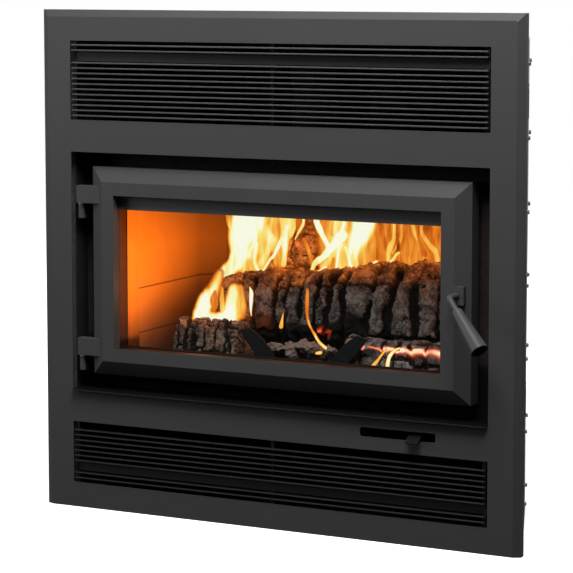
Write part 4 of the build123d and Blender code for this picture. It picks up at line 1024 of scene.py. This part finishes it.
def ash_bed(rough):
    """A sheet of ash over the floor's bricks, heaped up under the coals."""
    xs, depths = np.arange(BED[0], BED[1], BED_STEP), np.arange(BED[2], BED[3], BED_STEP)
    x, depth = (part.ravel() for part in np.meshgrid(xs, depths))
    points = np.stack((x, depth + FACE_Y, FLOOR_TOP + bed_height(x, depth, rough)), axis=1)
    grey = rough.layered(points + 5.0, 0.02, 4)
    return smooth_mesh("ash_bed", points, grid_faces(len(xs), len(depths)).tolist(), tone=0.5 + grey * 0.4,
                       crack=np.clip(grey, 0, 1) * 0.5, brown=0.2, ember=0.0, lit=0.0)


def coal_places(rough, rng):
    """Lumps on top of the heap, then smaller ones strewn over it, clear of one another."""
    placed = [np.array(coal) for coal in SEEN_COALS]
    while len(placed) < COALS:
        radius = rng.uniform(*COAL_RADII)
        x, depth = rng.normal(MOUND[0], STREWN[0]), rng.normal(MOUND[1], STREWN[1])
        in_width = BED[0] + SIDE_MARGIN < x < BED[1] - SIDE_MARGIN
        if not (in_width and BED[2] + FRONT_MARGIN < depth < STREWN_BACK):
            continue
        z = FLOOR_TOP + bed_height(np.array([x]), np.array([depth]), rough)[0] + radius * SEATED
        spot = np.array((x, depth, z, radius))
        if all(np.linalg.norm(spot[:3] - other[:3]) > OVERLAP * (radius + other[3]) for other in placed):
            placed.append(spot)
    return placed


def unit_ball():
    """Points and faces of a fine ball."""
    ball = bmesh.new()
    bmesh.ops.create_icosphere(ball, subdivisions=4, radius=1.0)
    points = np.array([vert.co for vert in ball.verts])
    faces = np.array([[vert.index for vert in face.verts] for face in ball.faces])
    ball.free()
    return points, faces


def coal_heap(rough):
    """Split lumps of charcoal, glowing where they lie on one another."""
    rng = np.random.default_rng(7)
    unit, sides = unit_ball()
    points, faces, cracks, tones, glows = [], [], [], [], []
    for count, (x, depth, z, radius) in enumerate(coal_places(rough, rng)):
        turned = unit @ np.linalg.qr(rng.normal(size=(3, 3)))[0]
        planes = rng.normal(size=(SPLIT_FACES, 3))
        planes /= np.linalg.norm(planes, axis=1)[:, None]
        reach = rng.uniform(0.45, 0.80, SPLIT_FACES) / np.maximum(turned @ planes.T, 0.30)
        flat = np.minimum(1.0, reach.min(axis=1))
        crack = ramp_up(0.13, 0.03, np.abs(rough.layered(turned + count * 3.7, 0.75, 3, 0.6)))
        grain = rough.layered(turned + count, 0.5, 5, 0.75)
        shape = turned * (flat * (1 + grain * 0.22 - crack * 0.22))[:, None]
        lump = shape * (rng.uniform(0.9, 1.35), rng.uniform(0.8, 1.1), rng.uniform(0.75, 1.0)) * radius
        points.append(lump + (x, depth + FACE_Y, z))
        faces.append(sides + count * len(unit))
        cracks.append(np.maximum(crack, LEAST_CRACK))
        tones.append(np.full(len(unit), rng.uniform(0.1, 0.9)))
        hot = float(rng.random() < 0.4)
        below = ramp_up(-0.1, -0.85, shape[:, 2] + rough(turned + 3.0, 0.5) * 0.5)
        glows.append(hot * below * rng.uniform(0.4, 0.9))
    return smooth_mesh("coals", np.concatenate(points), np.concatenate(faces).tolist(), brown=0.15, lit=0.0,
                       crack=np.concatenate(cracks), tone=np.concatenate(tones), ember=np.concatenate(glows))


class HEARTH_OT_embers(bpy.types.Operator):
    """Builds the ash bed and the heap of coals on the hearth bricks"""

    bl_idname = "hearth.embers"
    bl_label = "Ash and coals"

    def execute(self, context):
        rough = SoftNoise(61)
        wood = bpy.data.materials.get("charred_wood") or charred_wood()
        for mesh in (ash_bed(rough), coal_heap(rough)):
            mesh.materials.append(wood)
            piece = add_object(mesh.name, mesh)
            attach(piece, "root")
        return {"FINISHED"}


# ---- flames
class FireSheet(NamedTuple):
    """A curved sheet of fire, laid down stroke by stroke, in millimetres.

    A stroke is its heat, the width of its soft edge, and x, z and half-width of each point of its line. Heat
    goes from 0, nothing, by 0.3, dark orange, 0.5, orange, and 0.7, yellow, to 1, white.
    """

    name: str
    depth: float  # behind the face
    pitch: float  # size of its squares
    strokes: tuple


FIRE_SHEETS = (
    FireSheet("flames_rear", 254, 1.6, (
        (0.39, 10, 153, 623, 103.5, 153, 499, 103.5), (0.15, 8, -58, 614, 64.7, -54, 461, 64.7),
        (0.58, 9, -122, 610, 24, -114, 550, 21, -118, 490, 18), (0.45, 9, -72, 612, 14, -74, 560, 9),
        (0.5, 6, 34, 618, 55.1, 27, 492, 46.7), (0.66, 8, -168, 609, 30.8, -173, 481, 28.7, -183, 451, 19.9),
        (0.5, 3, -236, 598, 6.7, -234, 569, 5.6, -229, 550, 1.8),
        (0.80, 5, -185, 560, 41, -192, 534, 40.9, -196, 506, 31, -203, 489, 24.4),
        (1.0, 9, -185, 602, 38, -187, 575, 36, -197, 548, 29, -206, 526, 18, -208, 503, 11),
        (0.98, 3, -172, 560, 6, -174, 530, 5, -181, 508, 3, -190, 484, 2),
        (0.95, 4, -203, 500, 22.2, -217, 478, 15.6, -239, 458, 16.7, -257, 441, 15.7, -269, 417, 18, -274,
         396, 18),
        (0.62, 5, -182, 480, 11, -185, 451, 15.5),
        (0.84, 4, -145, 552, 11, -136, 526, 13.1, -150, 503, 8.8, -159, 481, 4.4),
        (0.84, 3, -99, 612, 21.7, -97, 567, 17.4, -102, 538, 10.9, -102, 509, 7.4, -106, 484, 6.5),
        (0.55, 2.5, -131, 602, 5.5, -129, 566, 7, -122, 541, 3.5),
        (0.97, 2.5, -100, 561, 3, -100, 534, 3.3, -102, 509, 2.6),
        (0.92, 1.6, -62, 601, 3.5, -64, 569, 3.2, -73, 553, 2.6, -80, 537, 1.5),
        (0.5, 3, -61, 540, 2.6, -54, 520, 5.2, -45, 500, 5.2, -38, 484, 3),
        (0.99, 2, -170, 522, 4, -170, 487, 3.3, -163, 468, 3.3, -154, 456, 4, -144, 457, 4.4, -131, 466,
         3.7, -119, 466, 2.8, -113, 457, 1.3),
        (0.97, 2, -153, 467, 1.8, -142, 488, 2.6, -127, 502, 3.3, -118, 517, 3.7, -108, 534, 3.9),
        (1.0, 1.5, -105, 461, 0.9, -93, 466, 2.4, -81, 466, 2.4, -72, 462, 0.9),
        (0.74, 6, 23, 607, 19.1, 21, 561, 17, 14, 528, 14.9, 3, 503, 10.7, -18, 485, 6.4),
        (0.97, 3, -36, 607, 6.4, -29, 579, 6.4, -20, 559, 6, -11, 541, 5.6, -2, 525, 5.1),
        (0.76, 5, 67, 560, 22.1, 52, 532, 19, 38, 511, 15.9, 34, 488, 17),
        (1.0, 7, 79, 612, 26.3, 74, 575, 25.3, 67, 557, 17.1, 56, 537, 10, 44, 519, 4),
        (0.97, 3, 28, 530, 3, 22, 505, 3.4, 18, 487, 3),
        (0.96, 3, 30, 549, 10.6, 7, 525, 7.7, -15, 505, 6, -33, 489, 5.2, -42, 470, 3.4),
        (0.99, 1.8, -60, 465, 1.1, -45, 468, 2.4, -27, 473, 3, -11, 484, 2.4),
        (0.52, 3, 2, 592, 7.5, 3, 568, 7.2, 5, 548, 3.2), (0.42, 2, 10, 501, 4.3, 8, 487, 5.1),
        (0.98, 1.6, 30, 610, 3.2, 30, 573, 3.2, 23, 536, 2.5, 21, 504, 2.1),
        (0.8, 2.5, 56, 526, 4.2, 54, 506, 5.1, 58, 490, 6.3),
        (1.0, 1.8, 38, 525, 2.5, 45, 501, 2.5, 50, 487, 3.4),
        (0.56, 6, 107, 569, 4.2, 96, 536, 7.1, 85, 511, 8.4, 81, 491, 8.4),
        (0.34, 5, 175, 612, 10.3, 177, 552, 10.3, 179, 520, 8.2),
        (0.7, 3, 144, 623, 3.7, 144, 573, 3.7, 143, 551, 5, 133, 534, 6.2, 127, 516, 4.2, 129, 494, 2.9),
        (0.62, 2.5, 163, 616, 3.7, 161, 561, 3.1, 153, 539, 2.9, 138, 522, 2.9),
        (0.28, 2.5, 155, 547, 1.2, 154, 528, 5),
        (0.86, 2.5, 156, 523, 1.7, 149, 519, 3.7, 142, 510, 3.7, 133, 502, 2.1),
        (0.6, 2.5, 186, 617, 3.7, 186, 569, 3.7, 199, 543, 3.7, 209, 514, 2.9, 216, 499, 2),
        (0.3, 3, 192, 561, 1, 207, 522, 7),
        (0.66, 2.5, 201, 617, 3.7, 203, 570, 3.7, 218, 540, 4.1, 231, 525, 4.9, 237, 500, 4.1),
        (0.36, 4, 222, 574, 6.1, 233, 547, 7.3), (0.72, 3, 246, 619, 7.1, 245, 564, 5.1),
        (0.64, 3, 249, 552, 4.9, 249, 500, 6.1), (0.88, 1.6, 94, 496, 2.1, 103, 499, 3.3, 111, 498, 1.3),
    )),
    FireSheet("flames_front_left", 148, 1.5, (
        (0.6, 5, -148, 445, 8.6, -145, 417, 9.5, -144, 389, 6.5),
        (0.98, 8, -226, 412, 15.4, -212, 433, 13.1, -203, 452, 11.0, -195, 474, 7.0),
        (1.0, 4, -243, 376, 13.2, -231, 402, 17.6, -217, 425, 13.1),
        (0.98, 5, -171, 379, 21.7, -169, 408, 16.3, -167, 432, 14.1, -164, 443, 8.7),
        (1.0, 4, -238, 383, 13.2, -206, 383, 10.9, -176, 381, 13),
        (0.66, 3, -192, 441, 4.4, -192, 420, 4.4, -189, 400, 4.4),
        (0.42, 3, -207, 434, 3.1, -208, 417, 8.7, -204, 399, 4.8),
    )),
    FireSheet("flame_lick_left", 140, 0.8, (
        (1.0, 2, -118, 392, 0.9, -119, 406, 2.4, -118, 426, 4.3, -118, 438, 3.9, -121, 448, 1.1),
    )),
    FireSheet("flame_lick_low", 140, 0.8, (
        (0.72, 2, -52, 374, 4.5, -50, 386, 3.2, -47, 403, 0.6),
    )),
    FireSheet("flame_wisp", 112, 0.9, (
        (0.4, 3, 20, 454, 3.3, 18, 428, 4, 18, 409, 3.7, 23, 391, 2.9, 28, 382, 2.1),
        (0.62, 2, 23, 393, 1.2, 29, 382, 2.1, 37, 369, 2.9, 48, 356, 3.3, 59, 346, 2.7),
        (0.86, 2, 39, 365, 1.2, 49, 354, 2.1, 63, 345, 3.1),
        (0.8, 2, 42, 332, 2.1, 50, 334, 3.3, 54, 336, 1.7),
    )),
    FireSheet("flame_licks_right", 104, 0.9, (
        (0.74, 2, 166, 314, 4.4, 178, 329, 3.2, 189, 344, 2.4, 196, 352, 1.2),
        (0.88, 2, 199, 315, 4.4, 200, 329, 4, 204, 341, 3.4, 214, 352, 2.8, 224, 357, 1.6),
        (0.66, 2, 167, 313, 5, 182, 315, 3.2, 199, 313, 5),
    )),
)
FLAME_TOP = 632  # just under the air tubes
FINE_STROKE = 3.5  # soft edge below which a stroke is drawn crisply
FADE_UNDER_TUBES = 36  # height over which the fire thins out at its top
LEAST_HEAT = 0.02  # cooler squares are left out
MARGIN = 12  # width of the sheet beyond its strokes
COARSE_PITCH = 1.6  # sheets with finer squares bend and waver less
DRAWN_OUT, ROLLED = 0.34, 0.30  # how strongly fine and broad turbulence change the heat
FULL_HEAT = 1.22  # heat that turbulence no longer changes


def smooth_line(line, count):
    """Points of a smooth line through those given."""
    place = np.linspace(0, 1, count) * (len(line) - 1)
    index = np.minimum(place.astype(int), len(line) - 2)
    f = (place - index)[:, None]
    before, start, end, after = (line[np.clip(index + k, 0, len(line) - 1)] for k in (-1, 0, 1, 2))
    bend = 2 * before - 5 * start + 4 * end - after
    twist = 3 * start - before - 3 * end + after
    return 0.5 * (2 * start + (end - before) * f + bend * f ** 2 + twist * f ** 3)


def stroke_share(soft, line, points):
    """How fully a stroke covers each point."""
    samples = smooth_line(line, 14 * len(line))
    reach = samples[:, 2].max() + soft * 1.5 + 2
    low, high = samples[:, :2].min(axis=0) - reach, samples[:, :2].max(axis=0) + reach
    near = np.all((points > low) & (points < high), axis=1)
    away = np.linalg.norm(points[near][:, None] - samples[None, :, :2], axis=2)
    edge = soft * 0.5 if soft < FINE_STROKE else soft * 1.15 + 1.5
    share = np.zeros(len(points))
    share[near] = ramp_up(-edge, edge, (samples[:, 2] - away).max(axis=1))
    return share


def fire_sheet(sheet, rough):
    """A grid bent in depth, its heat painted by the strokes and drawn out by rising turbulence."""
    strokes = [(hot, soft, np.reshape(line, (-1, 3))) for hot, soft, *line in sheet.strokes]
    dots = np.concatenate([line for _, _, line in strokes])
    margin = dots[:, 2:] + MARGIN
    (x0, z0), (x1, z1) = (dots[:, :2] - margin).min(axis=0), (dots[:, :2] + margin).max(axis=0)
    xs, zs = np.arange(x0, x1, sheet.pitch), np.arange(z0, min(z1, FLAME_TOP), sheet.pitch)
    x, z = (part.ravel() for part in np.meshgrid(xs, zs))
    flat = np.stack((x, z, np.full(len(x), float(sheet.depth))), axis=1)
    fine = min(1.0, sheet.pitch / COARSE_PITCH)
    bent = flat[:, :2] + np.stack([rough.layered(flat * (1, 0.6, 1) + shift, 26.0, 3, 0.5) * 2.6 * fine
                                   for shift in (0.0, 91.0)], axis=1)
    heat = np.zeros(len(x))
    for hot, soft, line in strokes:
        heat += (hot - heat) * stroke_share(soft, line, bent)
    drawn = rough.layered(flat * (1.0, 0.18, 1.0) + 40.0, 9.0, 3, 0.6)
    rolled = rough.layered(flat * (1.0, 0.45, 1.0) + 63.0, 30.0, 2, 0.6)
    heat *= 1 + drawn * DRAWN_OUT * (FULL_HEAT - heat) + rolled * ROLLED * (FULL_HEAT - heat)
    heat *= ramp_up(FLAME_TOP, FLAME_TOP - FADE_UNDER_TUBES, z)
    depth = sheet.depth + rough.layered(flat * (1, 0.5, 1) + 17.0, 60.0, 2) * 9 * fine
    points = np.stack((x, depth + FACE_Y / MM, z), axis=1) * MM
    corners = grid_faces(len(xs), len(zs))
    corners = corners[heat[corners].max(axis=1) > LEAST_HEAT]
    used, corners = np.unique(corners, return_inverse=True)
    piece = add_object(sheet.name, smooth_mesh(sheet.name, points[used], corners.reshape(-1, 4).tolist(),
                                               fire=heat[used]))
    piece.visible_shadow = False
    piece.visible_diffuse = False
    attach(piece, "root")
    return piece


FLAME_COLOURS = [(0.0, (0.20, 0.02, 0.0)), (0.20, (0.42, 0.070, 0.004)), (0.30, (0.56, 0.112, 0.007)),
                 (0.38, (0.72, 0.160, 0.009)), (0.46, (0.86, 0.262, 0.026)), (0.56, (0.93, 0.376, 0.045)),
                 (0.66, (0.97, 0.546, 0.090)), (0.74, (1.0, 0.680, 0.130)), (0.84, (1.0, 0.840, 0.265)),
                 (0.92, (1.0, 0.98, 0.500)), (1.0, (1.0, 1.02, 0.84))]


def burning_gas():
    """Flame: white and solid where it is hottest, orange and thin where it is cooler."""
    finish = Finish("flame")
    finish.owner.cycles.emission_sampling = "NONE"
    heat = finish.attribute("fire")
    drift = finish.noise((150.0, 90.0, 28.0), 3.0)
    stirred = (heat + (drift - 0.5) * heat * (1.15 - heat) * 0.42).clamped()
    return finish.surface(
        Base_Color=0.0, Roughness=1.0, Specular_IOR_Level=0.0, Alpha=heat.step(0.03, 0.42),
        Emission_Color=finish.ramp(stirred, FLAME_COLOURS), Emission_Strength=1.06)


FIRE_LAMPS = (  # name, x, depth behind the face, z, power
    ("fire_lamp_left", -0.240, 0.130, 0.43, 0.35), ("fire_lamp_rear_left", -0.10, 0.236, 0.545, 0.7),
    ("fire_lamp_middle", 0.08, 0.236, 0.555, 0.7), ("fire_lamp_right", 0.26, 0.236, 0.565, 0.7))
FIRELIGHT = (1.0, 0.30, 0.06)
FRONT_PLACE, FRONT_TARGET = (0.03, FACE_Y + 0.070, 0.470), (0.03, FACE_Y + 0.20, 0.37)
FRONT_SIZE, FRONT_POWER, FRONT_COLOUR = (0.62, 0.05), 0.17, (1.0, 0.93, 0.84)


class HEARTH_OT_flames(bpy.types.Operator):
    """Builds the flames and the lamps among them"""

    bl_idname = "hearth.flames"
    bl_label = "Flames"

    def execute(self, context):
        strength = context.scene.hearth_fire.lamps
        gas = burning_gas()
        rough = SoftNoise(5)
        for sheet in FIRE_SHEETS:
            fire_sheet(sheet, rough).data.materials.append(gas)
        for name, x, depth, z, power in FIRE_LAMPS:
            data = bpy.data.lights.new(name, "POINT")
            data.energy = power * strength
            data.color = FIRELIGHT
            data.shadow_soft_size = 0.03
            add_object(name, data, (x, depth + FACE_Y, z))
        area_lamp("fire_lamp_front", FRONT_PLACE, FRONT_TARGET, FRONT_SIZE, FRONT_POWER * strength,
                  FRONT_COLOUR)
        return {"FINISHED"}


# ---- panel and registration
STEPS = (HEARTH_OT_stage, HEARTH_OT_paint, HEARTH_OT_jacket, HEARTH_OT_firebox_steel, HEARTH_OT_bricks,
         HEARTH_OT_glazing, HEARTH_OT_fasteners, HEARTH_OT_logs, HEARTH_OT_embers, HEARTH_OT_flames)
SETTINGS = {"hearth_paint": PaintSettings, "hearth_fire": FireSettings, "hearth_stage": StageSettings}


class HEARTH_PT_dressing(bpy.types.Panel):
    """Lists the steps and their settings"""

    bl_idname = "HEARTH_PT_dressing"
    bl_label = "Fireplace insert"
    bl_space_type = "VIEW_3D"
    bl_region_type = "UI"
    bl_category = "Hearth"

    def draw(self, context):
        for step in STEPS:
            self.layout.operator(step.bl_idname)
        for name, group in SETTINGS.items():
            held = getattr(context.scene, name)
            box = self.layout.box()
            for key in group.__annotations__:
                box.prop(held, key)


def register():
    for group in SETTINGS.values():
        bpy.utils.register_class(group)
    for name, group in SETTINGS.items():
        setattr(bpy.types.Scene, name, PointerProperty(type=group))
    for step in (*STEPS, HEARTH_PT_dressing):
        bpy.utils.register_class(step)


def unregister():
    for step in (HEARTH_PT_dressing, *reversed(STEPS)):
        bpy.utils.unregister_class(step)
    for name, group in SETTINGS.items():
        delattr(bpy.types.Scene, name)
        bpy.utils.unregister_class(group)


def main():
    register()
    for step in STEPS:
        family, name = step.bl_idname.split(".")
        getattr(getattr(bpy.ops, family), name)()


if __name__ == "__main__":
    main()
